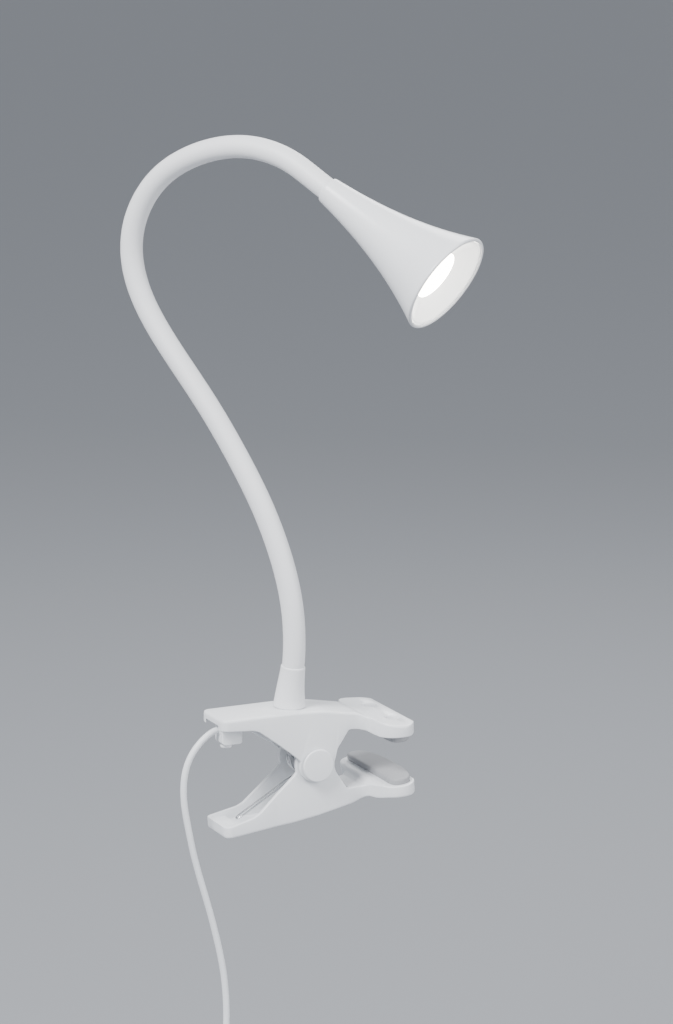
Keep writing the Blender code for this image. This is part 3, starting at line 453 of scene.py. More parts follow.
def white_abs(name, rough=0.34):
    """White ABS from a polished and lightly grained mould: satin, with a thin clear coat's shine."""
    grain_values = (1800, rough, 0.04, 0.10, 0.00002)
    tints = (0.80, 0.815, 0.84), (0.83, 0.845, 0.865)
    material, shader = moulded(name, grain_values, *tints, 45, 0.06, (0.0015, 0.0015, 0.0016))
    shader.inputs["Coat Weight"].default_value = 0.12
    shader.inputs["Coat Roughness"].default_value = 0.2
    return material


def half_width(x, back, rear_half, front_half):
    """Half width in plan: a quarter round at the rear, a straight handle, then the wing curve."""
    inside = np.clip((back + CORNER_R - x) / CORNER_R, 0, 1)
    rear = rear_half - CORNER_R * (1 - np.sqrt(1 - inside**2))
    waist = np.interp(x, [back + CORNER_R, -22], [rear_half, front_half])
    flare = smooth_path(np.c_[WING[:, 0], front_half + WING[:, 1] * (PAD_HALF - front_half)], 0.3)
    wing = np.interp(x, flare[:, 0], flare[:, 1])
    return np.where(x < 18, np.minimum(rear, waist), wing)


def rounded_loops(corners, radii, steps=6):
    """Every corner of a stack of closed loops becomes a short parabola.

    It runs from a point one radius before the corner to one a radius after it, or from half
    way along an edge that is shorter than that, and the corner is its middle control point.
    """
    back, ahead = np.roll(corners, 1, axis=1) - corners, np.roll(corners, -1, axis=1) - corners
    ends = []
    for edge in (back, ahead):
        length = np.linalg.norm(edge, axis=2, keepdims=True)
        ends.append(corners + edge * np.minimum(radii / np.maximum(length, 1e-9), 0.49))
    t = np.linspace(0, 1, steps)[:, None]
    start, mid, end = ends[0][:, :, None], corners[:, :, None], ends[1][:, :, None]
    curve = start * (1 - t) ** 2 + 2 * mid * t * (1 - t) + end * t**2
    return curve.reshape(len(corners), -1, corners.shape[2])


def even_stations(table, step, rounds=3):
    """Rows of a table read every step of its path, then each row averaged with its neighbours."""
    table = np.asarray(table, float)
    s = np.r_[0, np.cumsum(np.linalg.norm(np.diff(table, axis=0), axis=1))]
    at = np.linspace(0, s[-1], round(s[-1] / step) + 1)
    rows = np.stack([np.interp(at, s, table[:, c]) for c in range(table.shape[1])], 1)
    for _ in range(rounds):
        rows[1:-1] = 0.25 * rows[:-2] + 0.5 * rows[1:-1] + 0.25 * rows[2:]
    return rows


def jaw_surface(rows, w, roof, wall, edge, foot):
    """A trough-shaped jaw skinned over slanted sections, in mm from the pivot, outer face up.

    rows holds each section's outer point and inner point (xt, zt, xb, zb). The section's loop
    climbs one side wall, crosses the outer face, goes down the other wall and comes back
    through the hollow, whose roof is the given thickness under the outer face. Near the front
    a point moves forward by the bow times (w^p - y^p) over the paddle corner's width to the p.
    """
    outer, inner = rows[:, :2], rows[:, 2:4]
    height = np.linalg.norm(outer - inner, axis=1)
    thick = np.where(roof > 0, roof, 1e9)
    rise = np.maximum(outer[:, 1] - inner[:, 1], 0.1)
    hollow = np.where(roof > 0, height * np.clip(1 - thick / rise, 0, 1), 0.0)
    side = np.maximum(w - wall, 0.2)
    zero = np.zeros_like(w)
    y = np.stack([w, w, -w, -w, -side, -side, side, side], 1)
    v = np.stack([zero, height, height, zero, zero, hollow, hollow, zero], 1)
    radii = np.array([foot, edge, edge, foot, 0.25, 0.6, 0.6, 0.25])[None, :, None]
    loops = rounded_loops(np.stack([y, v], 2), radii)
    y, share = loops[:, :, 0], loops[:, :, 1] / height[:, None]
    spot = inner[:, None] + (outer - inner)[:, None] * share[:, :, None]
    ramp = np.clip((rows[:, 0] - 33) / (PADDLE_CORNER[0] - 33), 0, 1)
    bow = FRONT_BOW * ramp * ramp * (3 - 2 * ramp)
    lead = w[:, None] ** BOW_POWER - np.abs(y) ** BOW_POWER
    x = spot[:, :, 0] + bow[:, None] * lead / PADDLE_CORNER[1] ** BOW_POWER
    points = np.stack([x, y, spot[:, :, 1]], 2)
    count, cols = points.shape[:2]
    quads = grid_quads(count, cols)
    j = np.arange(cols // 2 - 1)
    cap = np.stack([j, j + 1, cols - 2 - j, cols - 1 - j], 1)
    quads = np.concatenate([quads, cap, cap[:, ::-1] + (count - 1) * cols])
    return points.reshape(-1, 3), quads


def softened(x, knots, reach=1.6):
    """The broken line through the knots, averaged over a short reach on each side."""
    knots = np.asarray(knots, float)
    near = x[:, None] + np.linspace(-reach, reach, 9)
    return np.interp(near, knots[:, 0], knots[:, 1]).mean(1)


def ear_rows(radius, start, end, top_start, top_end, top_line):
    """Sections that fan out from the outer face to the round ear, one for each 7 degrees."""
    turn = np.radians(np.arange(start, end + 1, 7.0))
    xt = np.linspace(top_start, top_end, len(turn))
    zt = np.interp(xt, top_line[:, 0], top_line[:, 1])
    return np.stack([xt, zt, radius * np.cos(turn), radius * np.sin(turn)], 1)


def cut(obj, tool):
    """Cut a tool's solid out of obj at once, and throw the tool away."""
    mod = obj.modifiers.new("cut", "BOOLEAN")
    mod.operation, mod.solver, mod.object = "DIFFERENCE", "EXACT", tool
    done = obj.evaluated_get(bpy.context.evaluated_depsgraph_get())
    mesh = bpy.data.meshes.new_from_object(done)
    obj.modifiers.clear()
    obj.data = mesh
    bpy.data.objects.remove(tool)
    tidy_mesh(obj)


def turned(name, profile, base, axis, sides=64, looped=False, sharp=38.0):
    """A turned piece: rows of (radius, height) spun about an axis through base, in metres."""
    profile = np.asarray(profile, float)
    axis = np.asarray(axis, float) / np.linalg.norm(axis)
    e1, e2 = across(axis)
    turn = np.linspace(0, 2 * np.pi, sides, endpoint=False)
    round_ = np.cos(turn)[:, None] * e1 + np.sin(turn)[:, None] * e2
    rings = np.asarray(base) + profile[:, 1, None, None] * axis + profile[:, 0, None, None] * round_
    return skinned(name, rings, looped, sharp)


STUD_X, STUD_Y, STUD_HOLE_R = 41.3, 13.0, 3.75
UPPER_BACK, JAW_HALF = -50.7, 13.0
upper_top = np.array(
    [(-60, 28.0), (-11, 28.0), (5, 26.9), (23, 23.6), (27.5, 21.4), (33, 20.2), (40, 19.5), (60, 19.5)]
)
upper_under = [
    (-47.0, 28, -47.0, 22.33),
    (-34.0, 28, -34.0, 21.33),
    (-31.6, 28, -31.2, 20.4),
    (-28.0, 28, -27.0, 17.3),
    (-22.0, 28, -20.0, 12.0),
    (-14.0, 28, -13.4, 6.7),
    (-9.5, 28, -11.5, 5.1),
    (-5.0, 28, -10.1, 3.8),
]
upper_front = [
    (13.5, 25.4, 10.9, 6.8),
    (16.0, 24.9, 13.6, 10.6),
    (19.0, 24.4, 17.0, 15.7),
    (20.0, 24.2, 18.2, 15.9),
    (23.0, 23.6, 22.2, 15.5),
    (25.8, 22.4, 25.6, 14.8),
    (28.9, 21.1, 28.7, 13.6),
    (29.9, 20.9, 29.7, 13.5),
    (33.0, 20.2, 33.0, 13.5),
    (NOSE_AT, 19.5, NOSE_AT, 13.5),
]
swing = np.radians(np.linspace(8, 90, 7))
nose_x, nose_in = NOSE_AT + NOSE_R * np.sin(swing), NOSE_R * (1 - np.cos(swing))
nose = np.stack([nose_x, PAD_TOP - nose_in, nose_x, PAD_FACE + nose_in], 1)


def jaw_sections(back, rear_under, under, ears, front, top_line, lip_r):
    """A jaw's sections from its rear corner to its nose, in mm from the pivot.

    The outer face follows its softened top line; it rounds over the rear edge on a quarter
    circle of radius lip_r.
    """
    corner = back + CORNER_R * (1 - np.cos(np.radians(np.linspace(0, 86, 9))))
    rear = np.stack([corner, corner * 0 + top_line[0, 1], corner, np.interp(corner, *rear_under)], 1)
    body = even_stations(np.concatenate([under, ears, front]), 0.55)
    rows = np.concatenate([rear, body, nose])
    x = rows[:, 0]
    ahead = x <= NOSE_AT
    lip = np.clip((back + lip_r - x[ahead]) / lip_r, 0, 1)
    rows[ahead, 1] = softened(x[ahead], top_line) - lip_r * (1 - np.sqrt(1 - lip**2))
    return rows


ears = ear_rows(9.2, -196, 2, -1.4, 12.2, upper_top)
rear_under = ([-50.7, -47.2], [22.6, 22.35])
upper_rows = jaw_sections(UPPER_BACK, rear_under, upper_under, ears, upper_front, upper_top, 1.4)
x_out = upper_rows[:, 0]
roof = np.where(x_out < -48.9, upper_rows[:, 1] - 24.8, np.where(x_out < 19.0, 2.0, 0.0))
upper_half = half_width((upper_rows[:, 0] + upper_rows[:, 2]) / 2, UPPER_BACK, JAW_HALF, JAW_HALF)
points, quads = jaw_surface(upper_rows, upper_half, roof, 2.0, 1.3, 0.7)
upper_jaw = make_piece("upper_jaw_moulding", points * MM + PIVOT, quads)


def cut_stud_holes(jaw, low, high, mouth, place):
    """Two round holes through the paddle, each with a softened rim on its outer face."""
    for side in (-1, 1):
        base = PIVOT + np.array([STUD_X, side * STUD_Y, 0]) * MM
        rim = [
            (0, low),
            (STUD_HOLE_R, low),
            (STUD_HOLE_R, mouth - 0.5),
            (STUD_HOLE_R + 0.15, mouth - 0.15),
            (STUD_HOLE_R + 0.5, mouth + 0.02),
            (STUD_HOLE_R + 0.5, high),
            (0, high),
        ]
        cut(jaw, turned("stud_cutter", place(np.array(rim) * MM, base), base, (0, 0, 1), 40))


cut_stud_holes(upper_jaw, 0, 30, PAD_TOP, lambda rim, base: rim)
clip_abs = white_abs("clip_plastic")
fitted(upper_jaw, clip_abs, "clip", "upper_jaw")


# ---------------------------------------------------------------- lower jaw
# The swinging half, the same white ABS. It is a little narrower so that its ears pass between
# the upper ones; its trough has a raised floor step that the spring's leg stops against.

REST_ANGLE = math.radians(3.5591)  # the jaws stand open on the board
LOWER_BACK = -51.0
lower_top = np.array(
    [
        (-60, 28.9),
        (-45, 28.9),
        (-13.4, 28.1),
        (0, 27.0),
        (20.6, 24.1),
        (26, 21.7),
        (30.5, 19.5),
        (60, 19.5),
    ]
)
lower_under = [
    (-47.4, 28.9, -47.4, 23.0),
    (-34.5, 28.6, -34.5, 20.9),
    (-31.5, 28.5, -31.2, 19.4),
    (-22.0, 28.3, -20.5, 11.0),
    (-14.0, 28.1, -13.4, 5.4),
    (-9.0, 27.8, -11.6, 4.0),
    (-6.0, 27.5, -10.9, 3.3),
]
lower_front = [
    (5.0, 26.3, 10.9, 6.1),
    (11.0, 25.5, 13.5, 10.6),
    (17.5, 24.5, 16.4, 15.6),
    (18.6, 24.4, 17.6, 15.9),
    (24.8, 22.3, 24.6, 15.9),
    (27.0, 21.2, 27.0, 15.1),
    (28.8, 20.4, 28.7, 13.6),
    (29.8, 19.9, 29.6, 13.5),
    (33.0, 19.5, 33.0, 13.5),
    (NOSE_AT, 19.5, NOSE_AT, 13.5),
]
ears = ear_rows(10.6, -194, 21, -3.6, 0.3, lower_top)
rear_under = ([-51.0, -47.5], [23.1, 23.1])
lower_rows = jaw_sections(LOWER_BACK, rear_under, lower_under, ears, lower_front, lower_top, 1.5)
x_out = lower_rows[:, 0]
step_floor = np.where(x_out < -40.8, lower_rows[:, 1] - 25.0, 2.0)
roof = np.where((x_out > -49.0) & (x_out < 18.5), step_floor, 0.0)
middle = (lower_rows[:, 0] + lower_rows[:, 2]) / 2
lower_half = half_width(middle, LOWER_BACK, JAW_HALF - 0.5, JAW_HALF - 2.3)
points, quads = jaw_surface(lower_rows, lower_half, roof, 2.0, 1.3, 0.6)


def on_lower_jaw(points):
    """From mm about the pivot with the jaw parallel to the board, to its place at rest."""
    points = np.asarray(points, float)
    cos, sin = math.cos(REST_ANGLE), math.sin(REST_ANGLE)
    x = points[..., 0] * cos - points[..., 2] * sin
    z = points[..., 0] * sin + points[..., 2] * cos
    return np.stack([x, points[..., 1], z], -1) * MM + PIVOT


lower_jaw = make_piece("lower_jaw_moulding", on_lower_jaw(points * [1, 1, -1]), quads)
for side in (-1, 1):
    hole_base = on_lower_jaw([STUD_X, side * STUD_Y, 0.0])
    way = on_lower_jaw([STUD_X, side * STUD_Y, -1.0]) - hole_base
    rim = [(0, 0), (3.75, 0), (3.75, 19.0), (3.9, 19.35), (4.25, 19.52), (4.25, 30), (0, 30)]
    cut(lower_jaw, turned("stud_cutter", np.array(rim) * MM, hole_base, way, 40))
fitted(lower_jaw, clip_abs, "lower_jaw_unit", "lower_jaw")


# ---------------------------------------------------------------- grip pads
# Two soft pads of translucent grey rubber, moulded with two studs each, which are pushed
# through the paddles' holes. Their faces have a fine pebbled grain against slipping.

GRIP_T, GRIP_INSET, GAP = 3.0, 2.5, 0.3


def grip_pad(name, side):
    """A pad in mm about the pivot: the paddle's plan drawn in, stacked with rounded edges.

    Seen from its middle, the drawn-in plan is in each direction the nearest of the plan's
    edges, each moved inwards by the inset; averaging those distances rounds the corners.
    """
    x = np.linspace(31.6, PADDLE_CORNER[0] - 0.4, 60)
    w = half_width(x, UPPER_BACK, JAW_HALF, JAW_HALF)
    edge_y = np.linspace(w[-1], -w[-1], 42)[1:-1]
    tip = PADDLE_CORNER[0] - 0.4 + FRONT_BOW * (1 - np.abs(edge_y / w[-1]) ** BOW_POWER)
    plan = np.concatenate([np.c_[x, w], np.c_[tip, edge_y], np.c_[x[::-1], -w[::-1]]])
    middle = np.array([STUD_X, 0.0])
    along = np.roll(plan, -1, 0) - plan
    outwards = np.stack([-along[:, 1], along[:, 0]], 1) / np.linalg.norm(along, axis=1)[:, None]
    depth_in = ((plan - middle) * outwards).sum(1) - GRIP_INSET + 0.4
    turn = np.linspace(0, 2 * np.pi, 360, endpoint=False)
    way = np.stack([np.cos(turn), np.sin(turn)], 1)
    facing = np.maximum(way @ outwards.T, 1e-6)
    far = (depth_in / facing).min(1)
    for _ in range(16):
        far = 0.25 * np.roll(far, 1) + 0.5 * far + 0.25 * np.roll(far, -1)
    outline = middle + far[:, None] * way
    along = np.roll(outline, -1, 0) - np.roll(outline, 1, 0)
    normal = np.stack([-along[:, 1], along[:, 0]], 1) / np.linalg.norm(along, axis=1)[:, None]
    bend = np.radians(np.linspace(0, 90, 6))
    low, high = PAD_FACE - GRIP_T, PAD_FACE - 0.05
    depth = np.r_[low + 1.0 * (1 - np.sin(bend)), high - 0.4 * (1 - np.sin(bend))]
    inset = np.r_[1.0 * (1 - np.cos(bend)), 0.4 * (1 - np.cos(bend))]
    order = np.argsort(depth)
    depth = np.r_[low, depth[order], high][:, None]
    inset = np.r_[inset[order[0]] + 0.8, inset[order], inset[order[-1]] + 0.8]
    rings = outline[None] + normal[None] * inset[:, None, None]
    z = np.broadcast_to(depth[:, :, None], rings.shape[:2] + (1,))
    rings = np.concatenate([rings, z], 2) * [1, 1, side]
    place = on_lower_jaw if side < 0 else (lambda p: np.asarray(p) * MM + PIVOT)
    pad = skinned(name, place(rings))
    pad.data.materials.append(grip_rubber)
    return pad


def studs(name, side):
    """A pad's two studs in one mesh: domed pegs that stop a little short of the outer face."""
    place = on_lower_jaw if side < 0 else (lambda p: np.asarray(p) * MM + PIVOT)
    bend = np.radians(np.linspace(0, 90, 7))
    profile = [(3.45, PAD_FACE - 1.0), *zip(2.95 + 0.5 * np.cos(bend), PAD_FACE + 3.5 + 0.5 * np.sin(bend))]
    profile += [(2.0, PAD_FACE + 4.02), (0.0, PAD_FACE + 4.05)]
    profile = np.array(profile)
    turn = np.linspace(0, 2 * np.pi, 48, endpoint=False)
    meshes = []
    for y in (-STUD_Y, STUD_Y):
        px = STUD_X + profile[:, :1] * np.cos(turn)
        py = y + profile[:, :1] * np.sin(turn)
        pz = np.broadcast_to(profile[:, 1:] * side, px.shape)
        meshes.append(capped(place(np.stack([px, py, pz], 2))))
    rows, cols = meshes[0].shape[:2]
    quads = grid_quads(rows, cols)
    points = np.concatenate([m.reshape(-1, 3) for m in meshes])
    peg = make_piece(name, points, np.concatenate([quads, quads + rows * cols]))
    peg.data.materials.append(grip_rubber)
    return peg


grip_rubber, _ = moulded(  # soft grey rubber, matt, a little see-through at its edges, pebbled; partly its own grey and partly painted shade, its tint darkened so that the stud holes and the band under the paddle read dark
    "grip_rubber",
    (1400, 0.62, 0.06, 0.35, 0.00006),
    (0.30, 0.305, 0.32),
    (0.34, 0.345, 0.36),
    120,
    0.12,
    (0.003,) * 3,
)
for label, side, body_name in (("upper", 1, "clip"), ("lower", -1, "lower_jaw_unit")):
    pad, pegs = grip_pad(f"{label}_grip", side), studs(f"{label}_grip_studs", side)
    for piece in (pad, pegs):
        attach(piece, body_name)
    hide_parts(f"{label}_grip_pad")


# ---------------------------------------------------------------- pivot pin and caps
# A steel pin with white push-on caps. Each cap is a round button, very slightly domed, with a
# soft edge, that stands off the ear by a hair.

CAP_R, CAP_T = 8.3, 1.9
bend = np.radians(np.linspace(0, 90, 9))
cap_profile = np.concatenate(
    [
        [(7.0, 0.0), (7.05, 0.42), (7.9, 0.5), (8.2, 0.6), (CAP_R, 0.75)],
        np.c_[CAP_R - 0.7 * (1 - np.cos(bend)), 0.95 + 0.7 * np.sin(bend)],
        np.c_[np.linspace(7.3, 0.05, 14), 1.65 + 0.25 * (1 - (np.linspace(7.3, 0.05, 14) / 7.6) ** 2)],
    ]
)
for label, side in (("near", -1), ("far", 1)):
    base = PIVOT + np.array([0, side * (JAW_HALF + GAP), 0]) * MM
    cap = turned(f"pivot_button_{label}", cap_profile * MM, base, (0, side, 0), 96)
    fitted(cap, clip_abs, "clip", f"pivot_cap_{label}")


def metal(name, colour, rough, streak=(1, 1, 1), scale=900.0):
    """Bare metal with fine drawing or turning marks, stretched along one axis."""
    material = bpy.data.materials.new(name)
    nodes, links, shader = nodes_of(material)
    place, noise = grain(nodes, links, shader, scale, rough, 0.07, 0.12, 0.00002)
    stretch = nodes.new("ShaderNodeMapping")
    stretch.inputs["Scale"].default_value = streak
    links.new(place.outputs["Object"], stretch.inputs["Vector"])
    links.new(stretch.outputs["Vector"], noise.inputs["Vector"])
    dark = tuple(c * 0.86 for c in colour)
    cloudy(nodes, links, shader, place, colour, dark, 300)
    shader.inputs["Metallic"].default_value = 1.0
    return material


bend = np.radians(np.linspace(0, 90, 5))
pin_profile = np.concatenate(
    [
        [(0.1, -12.9), (2.6, -12.9)],
        np.c_[2.6 + 0.4 * np.sin(bend), -12.5 - 0.4 * np.cos(bend)],
        np.c_[2.6 + 0.4 * np.cos(bend), 12.5 + 0.4 * np.sin(bend)],
        [(2.6, 12.9), (0.1, 12.9)],
    ]
)
pin = turned("pivot_shaft", pin_profile * MM, PIVOT, (0, 1, 0), 48)
fitted(pin, metal("pin_steel", (0.62, 0.63, 0.65), 0.25, (1, 0.1, 1)), "clip", "pivot_pin")


# ---------------------------------------------------------------- clip spring
# A double torsion spring of bright round wire: a coil on each side of the pin, tails under the
# upper jaw's roof and one long loop between them that presses in the lower jaw's trough.

WIRE_R, SPRING_R, SPRING_TURNS = 0.45, 7.6, 3


def spring_line():
    """Half of the wire, in mm about the pivot, then its mirror image back to the other tail.

    The coil is a circle about the pin's axis whose y falls evenly from the outer to the inner
    place, while it turns through three whole turns and on down to the leg.
    """
    outer_y, inner_y = 7.6, 1.3
    turn = np.linspace(math.radians(58.3), math.radians(-90 - 360 * SPRING_TURNS), 30 * SPRING_TURNS + 12)
    share = np.linspace(0, 1, len(turn))
    coil_y = -outer_y + (outer_y - inner_y) * share
    coil = np.stack([SPRING_R * np.cos(turn), coil_y, SPRING_R * np.sin(turn)], 1)
    tail = np.linspace((-24.0, -outer_y, 25.0), coil[0], 7)[:-1]
    leg = np.array([(-5.0, -7.7), (-10.0, -8.9), (-16.0, -11.7), (-28.0, -17.7), (-38.2, -22.8)])
    cos, sin = math.cos(REST_ANGLE), math.sin(REST_ANGLE)
    leg = np.stack([leg[:, 0] * cos - leg[:, 1] * sin, leg[:, 0] * sin + leg[:, 1] * cos], 1)
    leg = np.insert(leg, 1, -inner_y, axis=1)
    way = (leg[-1] - leg[-2]) / np.linalg.norm(leg[-1] - leg[-2])
    loop = leg[-1] + way * [[1.0], [1.5], [1.6]] + [[0, 0.25, 0], [0, 0.8, 0], [0, inner_y, 0]]
    half = np.concatenate([tail, coil, leg, loop])
    return np.concatenate([half, half[:-1][::-1] * [1, -1, 1]])


wire_path = smooth_path(spring_line() * MM + PIVOT, 0.0008)
wire = skinned("spring_wire", swept_rings(wire_path, WIRE_R * MM, 12, np.array([0.1, 1.0, 0.1])))
wire.data.materials.append(metal("spring_steel", (0.70, 0.71, 0.73), 0.2, (1, 1, 1), 1500))
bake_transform(wire)
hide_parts("clip_spring")


# ---------------------------------------------------------------- cord clamp
# A small white block under the rear of the upper jaw that pinches the flex, its screw from
# below, and the flex that runs on inside the jaw to the foot of the neck.


def rounded_box(name, low, high, edge, segments=3):
    """A box between two corners with softened edges, in metres."""
    low, high = np.asarray(low, float), np.asarray(high, float)
    unit = np.array([(x, y, z) for z in (0, 1) for x, y in ((0, 0), (1, 0), (1, 1), (0, 1))])
    rings = (low + unit * (high - low)).reshape(2, 4, 3)
    quads = np.concatenate([grid_quads(2, 4), [[3, 2, 1, 0], [4, 5, 6, 7]]])
    obj = make_piece(name, rings.reshape(-1, 3), quads)
    if edge:
        soft = obj.modifiers.new("edges", "BEVEL")
        soft.width, soft.segments, soft.harden_normals = edge, segments, True
        obj.data.shade_smooth()
    return obj


def block(name, low, high, chamfers, edge):
    """A block whose (x, z) side view has given corners cut off, swept across y and softened."""
    x0, y0, z0 = low
    x1, y1, z1 = high
    rear, front = chamfers
    bottom = [(x0 + rear, z0), (x1 - front, z0), (x1, z0 + front)]
    side = np.array([*bottom, (x1, z1), (x0, z1), (x0, z0 + rear)])
    ends = [np.insert(side, 1, y, axis=1) for y in (y0, y1)]
    points = np.concatenate(ends)
    quads = [[j, (j + 1) % 6, 6 + (j + 1) % 6, 6 + j] for j in range(6)]
    quads += [[0, 1, 2, 5], [2, 3, 4, 5], [6, 7, 8, 11], [8, 9, 10, 11]]
    obj = make_piece(name, points, np.array(quads))
    soft = obj.modifiers.new("edges", "BEVEL")
    soft.width, soft.segments, soft.harden_normals = edge, 4, True
    return obj


CLAMP_BACK, CLAMP_L, CLAMP_HALF, CORD_Z = -47.3, 10.8, 4.5, 20.4
clamp_low = PIVOT + np.array([CLAMP_BACK, -CLAMP_HALF, CORD_Z - 7.2]) * MM
clamp_high = PIVOT + np.array([CLAMP_BACK + CLAMP_L, CLAMP_HALF, 25.7]) * MM
clamp = block("cord_clamp_block", clamp_low, clamp_high, (0.0012, 0.0008), 0.0006)
fitted(clamp, clip_abs, "clip", "cord_clamp")
entry = [(2.6, -0.35), (2.6, 0.1), (2.35, 0.35), (1.95, 0.42), (1.75, 0.1), (1.75, -0.35)]
entry_at = PIVOT + np.array([CLAMP_BACK, 0, CORD_Z]) * MM
collar = turned("clamp_entry", np.array(entry) * MM, entry_at, (-1, 0, 0), 40, True)
collar.data.materials.append(clip_abs)
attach(collar, "clip")
screw_profile = [
    (0.02, -2.0),
    (1.6, -2.0),
    (2.35, -1.95),
    (2.7, -1.75),
    (2.88, -1.45),
    (2.9, -1.1),
    (2.9, -0.3),
    (1.15, -0.28),
    (1.15, 2.8),
    (0.02, 2.8),
]
screw_at = PIVOT + np.array([CLAMP_BACK + 3.9, 0, CORD_Z - 7.2]) * MM
screw = turned("clamp_screw_head", np.array(screw_profile) * MM, screw_at, (0, 0, 1), 48)
slot_low, slot_high = (-0.0034, -0.00035, -0.0032), (0.0034, 0.00035, -0.0013)
for turned_slot in (0, 1):
    a, b = np.array(slot_low), np.array(slot_high)
    if turned_slot:
        a, b = a[[1, 0, 2]], b[[1, 0, 2]]
    cut(screw, rounded_box("screw_slot", screw_at + a, screw_at + b, 0))
fitted(screw, white_abs("screw_white", 0.28), "clip", "clamp_screw")

LEAD_ROUTE = [  # in mm about the pivot
    (-47.0, 0.0, 20.4),
    (-42.0, 0.0, 20.4),
    (-36.5, 0.0, 20.4),
    (-31.0, 0.0, 19.4),
    (-25.0, 0.0, 15.8),
    (-19.5, 0.0, 12.6),
    (-14.0, 0.0, 11.9),
    (-10.2, 0.0, 14.4),
    (-9.2, 0.0, 17.6),
    (-9.2, 0.0, 20.3),
]
lead_path = smooth_path(np.array(LEAD_ROUTE) * MM + PIVOT, 0.001)
lead = skinned("flex_in_jaw", swept_rings(lead_path, CORD_R, 16, SIDEWAYS))
fitted(lead, jacket, "clip", "lead_in_jaw")


# ---------------------------------------------------------------- neck core and its fittings
# A gooseneck of steel links that keeps its bend, clamped to the jaw's roof by a threaded
# ferrule and a hexagon nut. All of it is hidden by the jaw, the boot and the sleeve.

NECK_BASE = PIVOT + np.array([-9.2, 0.0, 28.0]) * MM
NECK_OUT = np.array([math.cos(math.radians(-57.6)), math.sin(math.radians(-57.6)), 0.0])
NECK_SIDE = np.cross(NECK_OUT, (0.0, 0.0, 1.0))
NECK_ROUTE = np.array(  # (outwards, up) in mm from the jaw's roof
    [
        (0.0, -10.0),
        (0.0, 0.0),
        (0.9, 10.5),
        (2.4, 21.5),
        (3.0, 34.0),
        (1.5, 52.0),
        (-4.6, 74.5),
        (-15.2, 98.2),
        (-29.8, 122.0),
        (-46.1, 144.6),
        (-64.2, 166.4),
        (-78.0, 183.9),
        (-87.4, 200.2),
        (-91.7, 217.6),
        (-90.3, 231.2),
        (-85.4, 242.8),
        (-74.0, 256.6),
        (-58.8, 266.2),
        (-40.5, 272.4),
        (-23.8, 274.2),
        (-9.4, 272.4),
        (3.1, 268.0),
        (13.2, 262.2),
        (22.7, 256.4),
        (34.7, 249.1),
    ]
)
flat = smooth_path(NECK_ROUTE * MM, 0.0005)
neck_points = NECK_BASE + flat[:, :1] * NECK_OUT + flat[:, 1:] * np.array([0, 0, 1.0])
neck_length = np.r_[0, np.cumsum(np.linalg.norm(np.diff(neck_points, axis=0), axis=1))]
neck_length -= np.interp(0.0, flat[:60, 1], neck_length[:60])
neck_way = np.gradient(neck_points, axis=0)
neck_way /= np.linalg.norm(neck_way, axis=1)[:, None]
NECK_END = neck_length[-1] - 0.014


def neck_at(s):
    """Centres and unit directions at the given lengths along the neck."""
    s = np.atleast_1d(s)
    centre = np.stack([np.interp(s, neck_length, neck_points[:, c]) for c in range(3)], 1)
    way = np.stack([np.interp(s, neck_length, neck_way[:, c]) for c in range(3)], 1)
    return centre, way / np.linalg.norm(way, axis=1)[:, None]


def neck_rings(s, radius, sides):
    """Circles about the neck's line at lengths s, square to it."""
    centre, way = neck_at(s)
    turn = np.linspace(0, 2 * np.pi, sides, endpoint=False)[:, None]
    e2 = np.cross(way, NECK_SIDE)
    radius = np.broadcast_to(radius, len(centre))[:, None, None]
    return centre[:, None] + radius * (np.cos(turn) * NECK_SIDE + np.sin(turn) * e2[:, None])


def dress(material, *nodes):
    """Give hidden CAD nodes, kept as they are, one of the lamp's finishes."""
    for node in nodes:
        piece = frame["nodes"][node]
        piece.data.materials.clear()
        piece.data.materials.append(material)


core_steel = metal("core_steel", (0.55, 0.56, 0.58), 0.3, (1, 1, 0.2), 700)
dress(core_steel, *[f"neck_core_{i}" for i in range(10)])
fitting_steel = metal("fitting_steel", (0.63, 0.63, 0.64), 0.28, (1, 1, 6), 600)
dress(fitting_steel, "base_ferrule", "base_nut", "head_ferrule")


# ---------------------------------------------------------------- boot and sleeve
# A turned silicone boot stands on the jaw and hides the ferrule; a plain silicone sleeve covers
# the whole gooseneck. Each stretch of sleeve spans one of the neck's nine hinges.

SLEEVE_R, BOOT_H, HINGE_FIRST, HINGE_STEP = 5.5 * MM, 21.0 * MM, 30.0 * MM, 42.0 * MM


def silicone(name):
    """Matt white silicone rubber with a dusty skin."""
    grain_values = (2200, 0.52, 0.05, 0.16, 0.00003)
    tints = (0.78, 0.79, 0.81), (0.81, 0.82, 0.84)
    material, shader = moulded(name, grain_values, *tints, 70, 0.10, (0.002,) * 3)
    shader.inputs["Sheen Weight"].default_value = 0.08
    return material


share = np.linspace(0, 1, 40)
boot_r = 6.05 + 1.95 * (1 - share) ** 1.4
bend = np.radians(np.linspace(0, 90, 6))
foot_s = 0.1 + 0.5 * (1 - np.cos(bend))
boot_s = np.r_[0.1, 0.1, foot_s, 0.6 + share[1:-1] * 19.6, 20.2 + 0.7 * np.sin(bend), 20.9]
boot_radius = np.r_[
    5.7,
    7.2,
    7.5 + 0.5 * np.sin(bend),
    boot_r[1:-1],
    6.05 - 0.45 * (1 - np.cos(bend)),
    5.45,
]
boot = skinned("neck_boot_sleeve", neck_rings(boot_s * MM, boot_radius * MM, 64))
fitted(boot, silicone("boot_silicone"), "clip", "neck_boot")

